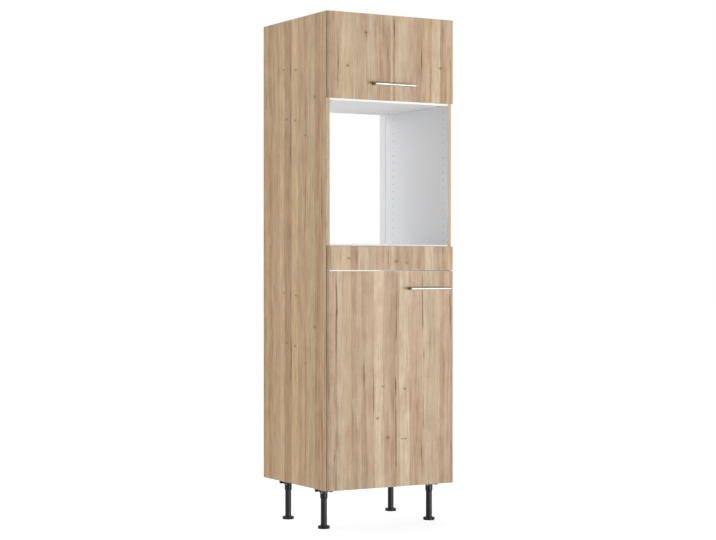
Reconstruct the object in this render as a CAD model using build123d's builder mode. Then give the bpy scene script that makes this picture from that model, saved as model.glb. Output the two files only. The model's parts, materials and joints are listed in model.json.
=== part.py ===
from build123d import *
import os
from math import hypot, sqrt

# Tall kitchen housing for a built-in oven: two oak decor sides with four fixed panels between them,
# a lift-up flap at the top, an open oven niche, a fixed fascia and a side-hung door, on four legs.
# Frame: X to the right seen from the front, Y to the back, Z up, origin on the floor under the middle.

# Carcass, in millimetres
cabinet_width = 600.0
carcass_depth = 566.0
panel_thickness = 16.0
lower_clear_height = 972.0
niche_clear_height = 586.0
upper_clear_height = 330.0
rear_void = 53.0
leg_height = 166.0

# Back panel and wall rail
back_thickness = 3.0
groove_clearance = 0.2
groove_depth = 8.0
groove_spare = 1.0
rail_height = 100.0
rail_dowel_inset = 25.0
rail_hole_diameter = 6.0
rail_hole_spacing = 400.0

# Fronts
front_thickness = 16.0
front_gap = 2.0
front_inset = 2.0
front_joint = 4.0
fascia_height = 98.0
edge_round = 0.8

# Bar handles
bar_diameter = 11.0
bar_length = 192.0
bar_stand_off = 30.0
bar_end_round = 0.6
post_diameter = 10.0
post_from_bar_end = 5.5
post_thread_depth = 12.0
flap_handle_from_bottom = 64.0
door_handle_from_top = 73.0
door_handle_from_edge = 31.0

# Drilling lines of the carcass
line_from_front = 37.0
line_from_rear = 64.0
pin_hole_diameter = 5.0
pin_hole_depth = 10.0
pin_hole_pitch = 32.0
pin_hole_below_ceiling = 24.0
pin_hole_above_shelf = 16.0

# Knock-down fittings
cam_diameter = 15.0
cam_depth = 12.5
cam_from_end = 24.0
cam_slot_length = 8.0
cam_slot_width = 1.6
cam_slot_depth = 2.0
bolt_thread_diameter = 5.0
bolt_shank_diameter = 7.0
bolt_clearance = 0.1
dowel_diameter = 8.0
dowel_in_side = 10.0
dowel_in_panel = 20.0
dowel_from_bolt = 32.0

# Concealed hinges, measured from the front's hinged edge (u) and its outer face (v)
hinge_pin_u = 6.0
hinge_pin_v = 5.0
hinge_pin_diameter = 2.0
hinge_running_clearance = 0.05
knuckle_radius = 1.7
knuckle_width = 6.0
pin_lug_gap = 0.5
pin_lug_width = 3.0
pin_lug_margin = 2.5
cup_diameter = 35.0
cup_from_edge = 2.5
cup_wall = 1.0
cup_floor = 0.8
cup_hollow_depth = 13.0
cup_flange = 1.0
cup_screw_offset = 22.5
cup_ear_width = 13.0
hinge_open_clearance = 0.5
arm_thickness = 3.5
arm_width = 12.0
arm_end_behind_line = 40.0
plate_thickness = 2.5
plate_before_line = 10.0
plate_width = 16.0
plate_screw_spacing = 32.0
plate_wing_width = 11.0
hinge_from_front_end = 100.0

# Gas struts of the flap, pivots measured back from and down from the flap's hinge pin
strut_top_back = 28.0
strut_top_drop = 40.0
strut_foot_back = 200.0
strut_foot_drop = 150.0
strut_from_side = 14.0
strut_tube_diameter = 18.0
strut_tube_wall = 1.5
strut_tail = 4.0
strut_gland = 12.0
strut_rod_diameter = 8.0
strut_running_clearance = 0.05
strut_piston_length = 8.0
strut_piston_spare = 2.0
strut_eye_radius = 6.0
strut_eye_width = 9.0
strut_eye_neck = 8.0
strut_pin_diameter = 6.0
strut_pin_spare = 1.0
strut_rod_showing = 8.0
strut_bracket_thickness = 3.0
strut_bracket_width = 24.0
strut_bracket_screw_spacing = 30.0
strut_bracket_screw_margin = 7.0
flap_bracket_thickness = 2.5
flap_bracket_width = 18.0
flap_bracket_height = 40.0
flap_bracket_screw_spacing = 26.0
stud_gap = 0.3
stud_length = 4.0

# Screws
plate_screw_diameter = 5.0
wood_screw_diameter = 4.0
cup_screw_diameter = 3.5
handle_screw_diameter = 4.0
screw_depth = 10.0
cup_screw_depth = 9.0
screw_head_ratio = 1.8
screw_head_height = 1.5
screw_slot_ratio = 0.5
screw_slot_width = 0.9
screw_slot_depth = 0.8

# Fascia brackets
bracket_thickness = 2.0
bracket_width = 30.0
bracket_drop = 38.0
bracket_reach = 40.0
bracket_from_middle = 200.0
bracket_screw_margin = 10.0
bracket_screw_spacing = 16.0

# Door and flap buffers
buffer_diameter = 8.0
buffer_gap = 0.2
buffer_from_end = 30.0

# Legs
leg_from_side = 45.0
front_leg_from_front = 103.0
rear_leg_from_front = 421.5
socket_width = 56.0
socket_plate = 4.0
socket_lug = 13.0
socket_depth = 15.0
boss_diameter = 40.0
collar_diameter = 31.0
collar_length = 29.0
collar_taper = 6.0
spigot_diameter = 20.0
spigot_length = 30.0
tube_diameter = 26.0
foot_diameter = 49.0
foot_height = 12.0
foot_round = 2.0
foot_notch_diameter = 8.0
foot_notches = 8
stem_diameter = 14.0
stem_length = 60.0
stem_spare = 4.0
stem_clearance = 0.05
foot_gap = 0.2

# Levels and places worked out from the sizes above
half_width = cabinet_width / 2
inner_half = half_width - panel_thickness
inner_depth = carcass_depth - rear_void
handle_reach = bar_stand_off + bar_diameter / 2
front_edge_y = (front_gap + front_thickness + handle_reach - carcass_depth) / 2
front_back_y = front_edge_y - front_gap
front_face_y = front_back_y - front_thickness
rear_edge_y = front_edge_y + carcass_depth
inner_rear_y = front_edge_y + inner_depth
bottom_z = leg_height
shelf_z = bottom_z + panel_thickness + lower_clear_height
niche_z = shelf_z + panel_thickness
floor_z = niche_z + niche_clear_height
upper_z = floor_z + panel_thickness
top_z = upper_z + upper_clear_height
carcass_top_z = top_z + panel_thickness
fascia_top_z = shelf_z + panel_thickness / 2
fascia_low_z = fascia_top_z - fascia_height
door_top_z = fascia_low_z - front_joint
door_low_z = bottom_z + front_inset
flap_low_z = floor_z + panel_thickness / 2
flap_top_z = carcass_top_z - front_inset
front_half = half_width - front_inset
line_ys = (front_edge_y + line_from_front, inner_rear_y - line_from_rear)
dowel_ys = (line_ys[0] + dowel_from_bolt, line_ys[1] - dowel_from_bolt)
rail_front_y = inner_rear_y + back_thickness + groove_clearance
rail_low_z = carcass_top_z - rail_height
rail_dowel_zs = (rail_low_z + rail_dowel_inset, carcass_top_z - rail_dowel_inset)
rail_dowel_y = rail_front_y + panel_thickness / 2

TO_TOP = (Align.CENTER, Align.CENTER, Align.MIN)
TO_BOTTOM = (Align.CENTER, Align.CENTER, Align.MAX)


def block(low, high, mode=Mode.ADD):
    """A rectangular block between two opposite corners."""
    size = [b - a for a, b in zip(low, high)]
    middle = [(a + b) / 2 for a, b in zip(low, high)]
    with Locations(tuple(middle)):
        Box(*size, mode=mode)


def facing(points, direction):
    """Planes at the points, whose normal is the direction."""
    return [Plane(origin=point, z_dir=direction) for point in points]


def screws(planes, diameter, depth):
    """Screws whose heads rest on the planes and whose shanks run back from them."""
    head = diameter * screw_head_ratio
    slot = head * screw_slot_ratio
    with BuildPart() as group:
        with Locations(*planes):
            Cylinder(diameter / 2, depth, align=TO_BOTTOM)
            Cylinder(head / 2, screw_head_height, align=TO_TOP)
        with Locations(*[plane.offset(screw_head_height) for plane in planes]):
            Box(slot, screw_slot_width, screw_slot_depth, align=TO_BOTTOM, mode=Mode.SUBTRACT)
            Box(screw_slot_width, slot, screw_slot_depth, align=TO_BOTTOM, mode=Mode.SUBTRACT)
    return group


# Hinge frames: u runs from the hinged edge into the front, v from its outer face to the back
hinge_line_v = front_thickness + front_gap + line_from_front
door_hinge_zs = (door_low_z + hinge_from_front_end, door_top_z - hinge_from_front_end)
flap_hinge_xs = (-front_half + hinge_from_front_end, front_half - hinge_from_front_end)
door_hinge_points = [(-front_half, front_face_y, z) for z in door_hinge_zs]
flap_hinge_points = [(x, front_face_y, flap_top_z) for x in flap_hinge_xs]
door_hinges = [Plane(origin=point, x_dir=(1, 0, 0), z_dir=(0, 0, 1)) for point in door_hinge_points]
flap_hinges = [Plane(origin=point, x_dir=(0, 0, -1), z_dir=(1, 0, 0)) for point in flap_hinge_points]
hinge_seat_u = panel_thickness - front_inset
plate_top_u = hinge_seat_u + plate_thickness
cup_u = cup_from_edge + cup_diameter / 2
open_flange_u = hinge_pin_u + front_thickness + cup_flange - hinge_pin_v
neck_in_u = max(open_flange_u + hinge_open_clearance, plate_top_u)
neck_out_u = neck_in_u + arm_thickness
arm_end_v = hinge_line_v + arm_end_behind_line
plate_start_v = hinge_line_v - plate_before_line
cup_depth = cup_hollow_depth + cup_floor
pin_lug_start = knuckle_width / 2 + pin_lug_gap
pin_lug_end = pin_lug_start + pin_lug_width
hinge_pin_length = 2 * pin_lug_end
pin_lug_u = cup_u - sqrt((cup_diameter / 2 - cup_wall / 2) ** 2 - pin_lug_end**2)


def hinge_plane(frame, u, v, w, normal):
    """A plane at a point of a hinge frame, looking along one of the frame's own directions."""
    across = frame.z_dir if normal != frame.z_dir else frame.x_dir
    return Plane(origin=frame.from_local_coords((u, v, w)), x_dir=across, z_dir=normal)


def cup_mouths(frames, offset=0.0):
    """Planes on the back of a front, at the middle of each hinge cup."""
    return [hinge_plane(frame, cup_u, front_thickness + offset, 0, frame.y_dir) for frame in frames]


def cup_screw_seats(frames, offset=0.0):
    """Planes at the screws of the hinge cups, on the back of a front."""
    reach = (-cup_screw_offset, cup_screw_offset)
    return [hinge_plane(f, cup_u, front_thickness + offset, w, f.y_dir) for f in frames for w in reach]


def plate_screw_seats(frames, offset=0.0):
    """Planes at the screws of the mounting plates, on the panel that carries the hinge."""
    reach = (-plate_screw_spacing / 2, plate_screw_spacing / 2)
    return [hinge_plane(f, hinge_seat_u + offset, hinge_line_v, w, f.x_dir) for f in frames for w in reach]


def pin_places(frames):
    """Planes at the middle of each hinge pin, with the normal along the pin."""
    return [hinge_plane(frame, hinge_pin_u, hinge_pin_v, 0, frame.z_dir) for frame in frames]


# Strut pivots, in the plane of the flap's hinge pin and across it
flap_pin_y = front_face_y + hinge_pin_v
flap_pin_z = flap_top_z - hinge_pin_u
strut_foot_y = flap_pin_y + strut_foot_back
strut_foot_z = flap_pin_z - strut_foot_drop
strut_top_y = flap_pin_y + strut_top_back
strut_top_z = flap_pin_z - strut_top_drop
strut_run = (0, strut_top_y - strut_foot_y, strut_top_z - strut_foot_z)
strut_length = hypot(strut_run[1], strut_run[2])
strut_x = inner_half - strut_from_side
SIDES = (-1, 1)
strut_feet = [(side * strut_x, strut_foot_y, strut_foot_z) for side in SIDES]
strut_frames = [Plane(origin=foot, x_dir=strut_run, z_dir=(1, 0, 0)) for foot in strut_feet]
strut_screw_reach = strut_bracket_screw_spacing / 2
strut_screw_zs = (strut_foot_z - strut_screw_reach, strut_foot_z + strut_screw_reach)
ear_outer_x = strut_x - strut_eye_width / 2 - stud_gap - stud_length
flap_bracket_screw_x = ear_outer_x - flap_bracket_thickness - flap_bracket_width / 2
flap_screw_reach = flap_bracket_screw_spacing / 2
flap_bracket_zs = (strut_top_z - flap_screw_reach, strut_top_z + flap_screw_reach)


def strut_screw_seats(side, offset=0.0):
    """Planes at the screws of a strut's carcass bracket, on the side panel's inner face."""
    x = side * (inner_half - offset)
    return facing([(x, strut_foot_y, z) for z in strut_screw_zs], (-side, 0, 0))


def flap_bracket_seats(offset=0.0):
    """Planes at the screws of both strut brackets on the back of the flap."""
    y = front_back_y + offset
    points = [(side * flap_bracket_screw_x, y, z) for side in SIDES for z in flap_bracket_zs]
    return facing(points, (0, 1, 0))


# Fixed panels: lower face, and whether the cams are let into the upper or the lower face
panel_levels = {
    "bottom_panel": bottom_z,
    "oven_shelf": shelf_z,
    "compartment_floor": floor_z,
    "top_panel": top_z,
}
cams_above = {"top_panel"}
leg_ys = (front_edge_y + front_leg_from_front, front_edge_y + rear_leg_from_front)
leg_points = [(side * (half_width - leg_from_side), y) for y in leg_ys for side in SIDES]
lug_middle = (socket_width - socket_lug) / 2
bracket_xs = (-bracket_from_middle, bracket_from_middle)
bracket_screw_xs = (-bracket_screw_spacing / 2, bracket_screw_spacing / 2)


def leg_screw_seats(offset=0.0):
    """Planes at the leg screws, under the bottom panel."""
    points = [
        (x + dx * lug_middle, y + dy * lug_middle, bottom_z - offset)
        for x, y in leg_points
        for dx in SIDES
        for dy in SIDES
    ]
    return facing(points, (0, 0, -1))


def bracket_shelf_seats(offset=0.0):
    """Planes at the fascia brackets' screws, under the oven shelf."""
    y = front_edge_y + bracket_reach - bracket_screw_margin
    points = [(x + dx, y, shelf_z - offset) for x in bracket_xs for dx in bracket_screw_xs]
    return facing(points, (0, 0, -1))


def bracket_fascia_seats(offset=0.0):
    """Planes at the fascia brackets' screws, on the back of the fascia."""
    z = shelf_z - bracket_drop + bracket_screw_margin
    points = [(x + dx, front_back_y + offset, z) for x in bracket_xs for dx in bracket_screw_xs]
    return facing(points, (0, 1, 0))


def end_planes(ys, zs, side):
    """Planes on the inner face of one side panel, looking into the cabinet."""
    return facing([(side * inner_half, y, z) for z in zs for y in ys], (-side, 0, 0))


panel_middles = [low + panel_thickness / 2 for low in panel_levels.values()]


def dowel_ends(side):
    """Planes at every dowel that enters one side panel."""
    return end_planes(dowel_ys, panel_middles, side) + end_planes((rail_dowel_y,), rail_dowel_zs, side)


def pin_hole_zs():
    """Heights of the shelf pin holes in the niche, from the highest down."""
    room = niche_clear_height - pin_hole_below_ceiling - pin_hole_above_shelf
    count = int(room // pin_hole_pitch) + 1
    return [floor_z - pin_hole_below_ceiling - i * pin_hole_pitch for i in range(count)]


def side_panel(side):
    """A side panel with its groove and drillings; side is -1 on the left and 1 on the right."""
    low_x, high_x = sorted((side * inner_half, side * half_width))
    with BuildPart() as panel:
        block((low_x, front_edge_y, bottom_z), (high_x, rear_edge_y, carcass_top_z))
        groove_x = sorted((side * (inner_half + groove_depth), side * inner_half))
        groove_rear = inner_rear_y + back_thickness + groove_clearance
        groove_low = (groove_x[0], inner_rear_y, bottom_z)
        groove_high = (groove_x[1], groove_rear, carcass_top_z)
        block(groove_low, groove_high, mode=Mode.SUBTRACT)
        with Locations(*end_planes(line_ys, pin_hole_zs(), side)):
            Hole(pin_hole_diameter / 2, pin_hole_depth)
        with Locations(*end_planes(line_ys, panel_middles, side)):
            Hole(bolt_thread_diameter / 2, screw_depth)
        with Locations(*dowel_ends(side)):
            Hole(dowel_diameter / 2, dowel_in_side)
        with Locations(*strut_screw_seats(side)):
            Hole(wood_screw_diameter / 2, screw_depth)
        if side < 0:
            with Locations(*plate_screw_seats(door_hinges)):
                Hole(plate_screw_diameter / 2, screw_depth)
    return panel


def cam_planes(low_z, above):
    """Planes at the cams of a fixed panel, on the face they are let into, with x towards the panel's end."""
    z = low_z + panel_thickness if above else low_z
    normal = (0, 0, 1) if above else (0, 0, -1)
    middle_x = inner_half - cam_from_end
    return [
        Plane(origin=(side * middle_x, y, z), x_dir=(side, 0, 0), z_dir=normal)
        for side in SIDES
        for y in line_ys
    ]


def fixed_panel(name, screw_planes=(), screw_diameter=wood_screw_diameter):
    """A panel between the sides, with its cam, bolt, dowel and screw holes."""
    low_z = panel_levels[name]
    middle = low_z + panel_thickness / 2
    with BuildPart() as panel:
        block((-inner_half, front_edge_y, low_z), (inner_half, inner_rear_y, low_z + panel_thickness))
        with Locations(*cam_planes(low_z, name in cams_above)):
            Hole(cam_diameter / 2, cam_depth)
        for side in SIDES:
            into_panel = [Plane(p.origin, z_dir=-p.z_dir) for p in end_planes(line_ys, (middle,), side)]
            with Locations(*into_panel):
                Hole(bolt_shank_diameter / 2 + bolt_clearance, cam_from_end)
            into_panel = [Plane(p.origin, z_dir=-p.z_dir) for p in end_planes(dowel_ys, (middle,), side)]
            with Locations(*into_panel):
                Hole(dowel_diameter / 2, dowel_in_panel)
        if screw_planes:
            with Locations(*screw_planes):
                Hole(screw_diameter / 2, screw_depth)
    return panel


pieces = {}
pieces["left_side_panel"] = side_panel(-1)
pieces["right_side_panel"] = side_panel(1)
pieces["bottom_panel"] = fixed_panel("bottom_panel", leg_screw_seats())
pieces["oven_shelf"] = fixed_panel("oven_shelf", bracket_shelf_seats())
pieces["compartment_floor"] = fixed_panel("compartment_floor")
pieces["top_panel"] = fixed_panel("top_panel", plate_screw_seats(flap_hinges), plate_screw_diameter)

# Thin back of the flap compartment, held in the side grooves
with BuildPart() as upper_back_panel:
    back_half = inner_half + groove_depth - groove_spare
    block((-back_half, inner_rear_y, floor_z), (back_half, inner_rear_y + back_thickness, carcass_top_z))
pieces["upper_back_panel"] = upper_back_panel

# Rail behind the back, through which the cabinet is screwed to the wall
with BuildPart() as wall_rail:
    rail_rear_y = rail_front_y + panel_thickness
    block((-inner_half, rail_front_y, rail_low_z), (inner_half, rail_rear_y, carcass_top_z))
    rail_middle_z = (rail_low_z + carcass_top_z) / 2
    rail_holes = [(side * rail_hole_spacing / 2, rail_rear_y, rail_middle_z) for side in SIDES]
    with Locations(*facing(rail_holes, (0, 1, 0))):
        Hole(rail_hole_diameter / 2, panel_thickness)
    for side in SIDES:
        rail_ends = end_planes((rail_dowel_y,), rail_dowel_zs, side)
        with Locations(*[Plane(p.origin, z_dir=-p.z_dir) for p in rail_ends]):
            Hole(dowel_diameter / 2, dowel_in_panel)
pieces["wall_rail"] = wall_rail

# Cams, bolts and dowels that hold the panels to the sides
all_cams = []
for name, low_z in panel_levels.items():
    all_cams += cam_planes(low_z, name in cams_above)
with BuildPart() as cam_fittings:
    with Locations(*all_cams):
        Cylinder(cam_diameter / 2, cam_depth, align=TO_BOTTOM)
        Box(cam_slot_length, cam_slot_width, cam_slot_depth, align=TO_BOTTOM, mode=Mode.SUBTRACT)
        Box(cam_slot_width, cam_slot_length, cam_slot_depth, align=TO_BOTTOM, mode=Mode.SUBTRACT)
    with Locations(*[plane.offset(-panel_thickness / 2) for plane in all_cams]):
        Cylinder(
            bolt_shank_diameter / 2 + bolt_clearance,
            cam_diameter,
            rotation=(0, 90, 0),
            align=TO_TOP,
            mode=Mode.SUBTRACT,
        )
pieces["cam_fittings"] = cam_fittings

with BuildPart() as cam_bolts:
    for side in SIDES:
        with Locations(*end_planes(line_ys, panel_middles, side)):
            Cylinder(bolt_thread_diameter / 2, screw_depth, align=TO_BOTTOM)
            Cylinder(bolt_shank_diameter / 2, cam_from_end - bolt_clearance, align=TO_TOP)
pieces["cam_bolts"] = cam_bolts

with BuildPart() as dowels:
    for side in SIDES:
        with Locations(*dowel_ends(side)):
            Cylinder(dowel_diameter / 2, dowel_in_side, align=TO_BOTTOM)
            Cylinder(dowel_diameter / 2, dowel_in_panel, align=TO_TOP)
pieces["dowels"] = dowels


def front_panel(low_z, high_z):
    """A front board with softened edges, over the carcass's whole width less the insets."""
    with BuildPart() as board:
        block((-front_half, front_face_y, low_z), (front_half, front_back_y, high_z))
        fillet(board.edges(), edge_round)
    return board.part


def handle_points(middle_x, z, y):
    """Points of a handle's two posts at one depth."""
    reach = bar_length / 2 - post_from_bar_end
    return [(middle_x + side * reach, y, z) for side in SIDES]


flap_handle_x = 0.0
flap_handle_z = flap_low_z + flap_handle_from_bottom
door_handle_x = front_half - door_handle_from_edge - bar_length / 2
door_handle_z = door_top_z - door_handle_from_top

# Flap, door and fascia boards with their drillings
with BuildPart() as flap_panel:
    add(front_panel(flap_low_z, flap_top_z))
    with Locations(*cup_mouths(flap_hinges)):
        Hole(cup_diameter / 2, cup_depth)
    with Locations(*cup_screw_seats(flap_hinges)):
        Hole(cup_screw_diameter / 2, cup_screw_depth)
    with Locations(*flap_bracket_seats()):
        Hole(wood_screw_diameter / 2, screw_depth)
    with Locations(*facing(handle_points(flap_handle_x, flap_handle_z, front_back_y), (0, 1, 0))):
        Hole(handle_screw_diameter / 2, front_thickness)
pieces["flap_panel"] = flap_panel

with BuildPart() as door_panel:
    add(front_panel(door_low_z, door_top_z))
    with Locations(*cup_mouths(door_hinges)):
        Hole(cup_diameter / 2, cup_depth)
    with Locations(*cup_screw_seats(door_hinges)):
        Hole(cup_screw_diameter / 2, cup_screw_depth)
    with Locations(*facing(handle_points(door_handle_x, door_handle_z, front_back_y), (0, 1, 0))):
        Hole(handle_screw_diameter / 2, front_thickness)
pieces["door_panel"] = door_panel

with BuildPart() as fascia_panel:
    add(front_panel(fascia_low_z, fascia_top_z))
    with Locations(*bracket_fascia_seats()):
        Hole(wood_screw_diameter / 2, screw_depth)
pieces["fascia_panel"] = fascia_panel

# Steel angles that carry the fascia under the oven shelf
with BuildPart() as fascia_brackets:
    for x in bracket_xs:
        left, right = x - bracket_width / 2, x + bracket_width / 2
        block(
            (left, front_back_y, shelf_z - bracket_drop),
            (right, front_back_y + bracket_thickness, shelf_z),
        )
        block(
            (left, front_back_y, shelf_z - bracket_thickness),
            (right, front_edge_y + bracket_reach, shelf_z),
        )
    with Locations(*bracket_shelf_seats(bracket_thickness), *bracket_fascia_seats(bracket_thickness)):
        Hole(wood_screw_diameter / 2, bracket_thickness)
pieces["fascia_brackets"] = fascia_brackets
pieces["fascia_screws"] = screws(
    bracket_shelf_seats(bracket_thickness) + bracket_fascia_seats(bracket_thickness),
    wood_screw_diameter,
    screw_depth + bracket_thickness,
)


def handle_bar(middle_x, z):
    """The round grip of a handle, along X."""
    with BuildPart() as bar:
        with Locations((middle_x, front_face_y - bar_stand_off, z)):
            Cylinder(bar_diameter / 2, bar_length, rotation=(0, 90, 0))
        fillet(bar.edges().filter_by(GeomType.CIRCLE), bar_end_round)
    return bar


def handle_posts(middle_x, z):
    """The two posts of a handle, hollowed where they meet the grip and bored for their screws."""
    with BuildPart() as posts:
        with Locations(*facing(handle_points(middle_x, z, front_face_y), (0, -1, 0))):
            Cylinder(post_diameter / 2, bar_stand_off, align=TO_TOP)
        with Locations((middle_x, front_face_y - bar_stand_off, z)):
            Cylinder(bar_diameter / 2, bar_length, rotation=(0, 90, 0), mode=Mode.SUBTRACT)
        with Locations(*facing(handle_points(middle_x, z, front_face_y), (0, 1, 0))):
            Hole(handle_screw_diameter / 2, post_thread_depth)
    return posts


handle_places = {"flap": (flap_handle_x, flap_handle_z), "door": (door_handle_x, door_handle_z)}
handle_screw_depth = front_thickness + post_thread_depth
for front, (middle_x, z) in handle_places.items():
    pieces[front + "_handle_bar"] = handle_bar(middle_x, z)
    pieces[front + "_handle_posts"] = handle_posts(middle_x, z)
    seats = facing(handle_points(middle_x, z, front_back_y), (0, 1, 0))
    pieces[front + "_handle_screws"] = screws(seats, handle_screw_diameter, handle_screw_depth)


def rectangle(low, high):
    """A rectangle between two corners of the sketch."""
    with Locations(((low[0] + high[0]) / 2, (low[1] + high[1]) / 2)):
        Rectangle(high[0] - low[0], high[1] - low[1])


def hinge_cups(frames):
    """Pressed cups with a screwed flange, let into the back of a front."""
    with BuildPart() as cups:
        for mouth in cup_mouths(frames):
            with BuildSketch(mouth):
                Circle(cup_diameter / 2)
                SlotCenterToCenter(2 * cup_screw_offset, cup_ear_width)
            extrude(amount=cup_flange)
        with Locations(*cup_mouths(frames)):
            Cylinder(cup_diameter / 2, cup_depth, align=TO_BOTTOM)
        with Locations(*cup_mouths(frames, cup_flange)):
            Hole(cup_diameter / 2 - cup_wall, cup_hollow_depth + cup_flange)
        with Locations(*cup_screw_seats(frames, cup_flange)):
            Hole(cup_screw_diameter / 2, cup_flange)
        for frame in frames:
            for side in SIDES:
                with BuildSketch(frame.offset(side * (pin_lug_start + pin_lug_width / 2))):
                    rectangle(
                        (pin_lug_u, front_thickness - cup_depth + cup_floor / 2),
                        (hinge_pin_u + pin_lug_margin, hinge_pin_v + pin_lug_margin),
                    )
                extrude(amount=pin_lug_width / 2, both=True)
        with Locations(*pin_places(frames)):
            Cylinder(hinge_pin_diameter / 2, hinge_pin_length, mode=Mode.SUBTRACT)
    return cups


def hinge_pins(frames):
    """Steel pins across the cups, on which the arms' knuckles turn."""
    with BuildPart() as pins:
        with Locations(*pin_places(frames)):
            Cylinder(hinge_pin_diameter / 2, hinge_pin_length)
    return pins


def hinge_arms(frames):
    """Cranked arms: a knuckle on the pin, a nose and neck out of the cup, and a channel on the plate."""
    with BuildPart() as arms:
        for frame in frames:
            with BuildSketch(frame):
                with Locations((hinge_pin_u, hinge_pin_v)):
                    Circle(knuckle_radius)
                nose_low = hinge_pin_v - knuckle_radius
                nose_high = hinge_pin_v + knuckle_radius
                rectangle((hinge_pin_u, nose_low), (neck_out_u, nose_high))
                rectangle((neck_in_u, nose_low), (neck_out_u, arm_end_v))
            extrude(amount=knuckle_width / 2, both=True)
            with BuildSketch(frame):
                rectangle((plate_top_u, plate_start_v), (neck_out_u, arm_end_v))
            extrude(amount=arm_width / 2, both=True)
        with Locations(*pin_places(frames)):
            bore_radius = hinge_pin_diameter / 2 + hinge_running_clearance
            Cylinder(bore_radius, hinge_pin_length, mode=Mode.SUBTRACT)
    return arms


def hinge_plates(frames):
    """Mounting plates on the carcass, with a screwed wing to each side."""
    with BuildPart() as plates:
        for frame in frames:
            foot = frame.from_local_coords((hinge_seat_u, 0, 0))
            seat = Plane(origin=foot, x_dir=frame.y_dir, z_dir=frame.x_dir)
            with BuildSketch(seat):
                rectangle((plate_start_v, -plate_width / 2), (arm_end_v, plate_width / 2))
                with Locations((hinge_line_v, 0)):
                    SlotCenterToCenter(plate_screw_spacing, plate_wing_width, rotation=90)
            extrude(amount=plate_thickness)
        with Locations(*plate_screw_seats(frames, plate_thickness)):
            Hole(plate_screw_diameter / 2, plate_thickness)
    return plates


for front, frames in (("flap", flap_hinges), ("door", door_hinges)):
    pieces[front + "_hinge_cups"] = hinge_cups(frames)
    pieces[front + "_hinge_pins"] = hinge_pins(frames)
    pieces[front + "_hinge_arms"] = hinge_arms(frames)
    pieces[front + "_hinge_plates"] = hinge_plates(frames)
    pieces[front + "_cup_screws"] = screws(
        cup_screw_seats(frames, cup_flange), cup_screw_diameter, cup_screw_depth + cup_flange
    )
    pieces[front + "_plate_screws"] = screws(
        plate_screw_seats(frames, plate_thickness), plate_screw_diameter, screw_depth + plate_thickness
    )

# Gas struts: the tubes turn on pins of the carcass brackets, the rods slide in the tubes
tube_start = strut_eye_radius + strut_eye_neck
tube_end = strut_length - strut_eye_radius - strut_rod_showing
chamber_start = tube_start + strut_tail
piston_start = chamber_start + strut_piston_spare
tube_radius = strut_tube_diameter / 2
rod_radius = strut_rod_diameter / 2
chamber_radius = tube_radius - strut_tube_wall


def strut_stretch(radius, start, end, mode=Mode.ADD):
    """A round stretch of both struts, between two distances from their lower pivots."""
    starts = [(frame.from_local_coords((start, 0, 0)), frame) for frame in strut_frames]
    with Locations(*[Plane(point, x_dir=frame.z_dir, z_dir=frame.x_dir) for point, frame in starts]):
        Cylinder(radius, end - start, align=TO_TOP, mode=mode)


with BuildPart() as strut_cylinders:
    strut_stretch(rod_radius, 0, chamber_start)
    strut_stretch(tube_radius, tube_start, tube_end)
    strut_stretch(chamber_radius, chamber_start, tube_end - strut_gland, Mode.SUBTRACT)
    strut_stretch(rod_radius + strut_running_clearance, chamber_start, tube_end, Mode.SUBTRACT)
    with Locations(*strut_frames):
        Cylinder(strut_eye_radius, strut_eye_width)
        Cylinder(strut_pin_diameter / 2 + strut_running_clearance, strut_eye_width, mode=Mode.SUBTRACT)
pieces["strut_cylinders"] = strut_cylinders

with BuildPart() as strut_rods:
    strut_stretch(chamber_radius - strut_running_clearance, piston_start, piston_start + strut_piston_length)
    strut_stretch(rod_radius, piston_start, strut_length)
    tops = [(frame.from_local_coords((strut_length, 0, 0)), frame) for frame in strut_frames]
    with Locations(*[Plane(point, z_dir=frame.z_dir) for point, frame in tops]):
        Cylinder(strut_eye_radius, strut_eye_width)
        Cylinder(strut_pin_diameter / 2, strut_eye_width, mode=Mode.SUBTRACT)
pieces["strut_rods"] = strut_rods

strut_screw_planes = []
with BuildPart() as strut_carcass_brackets:
    for side in SIDES:
        foot = (side * inner_half, strut_foot_y, strut_foot_z)
        seat = Plane(origin=foot, x_dir=(0, 1, 0), z_dir=(-side, 0, 0))
        with BuildSketch(seat):
            bracket_height = strut_bracket_screw_spacing + 2 * strut_bracket_screw_margin
            RectangleRounded(strut_bracket_width, bracket_height, strut_bracket_screw_margin)
        extrude(amount=strut_bracket_thickness)
        with Locations(seat):
            pin_reach = strut_from_side + strut_eye_width / 2 + strut_pin_spare
            Cylinder(strut_pin_diameter / 2, pin_reach, align=TO_TOP)
        with Locations(*strut_screw_seats(side, strut_bracket_thickness)):
            Hole(wood_screw_diameter / 2, strut_bracket_thickness)
        strut_screw_planes += strut_screw_seats(side, strut_bracket_thickness)
pieces["strut_carcass_brackets"] = strut_carcass_brackets
pieces["strut_carcass_screws"] = screws(
    strut_screw_planes, wood_screw_diameter, screw_depth + strut_bracket_thickness
)

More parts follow.
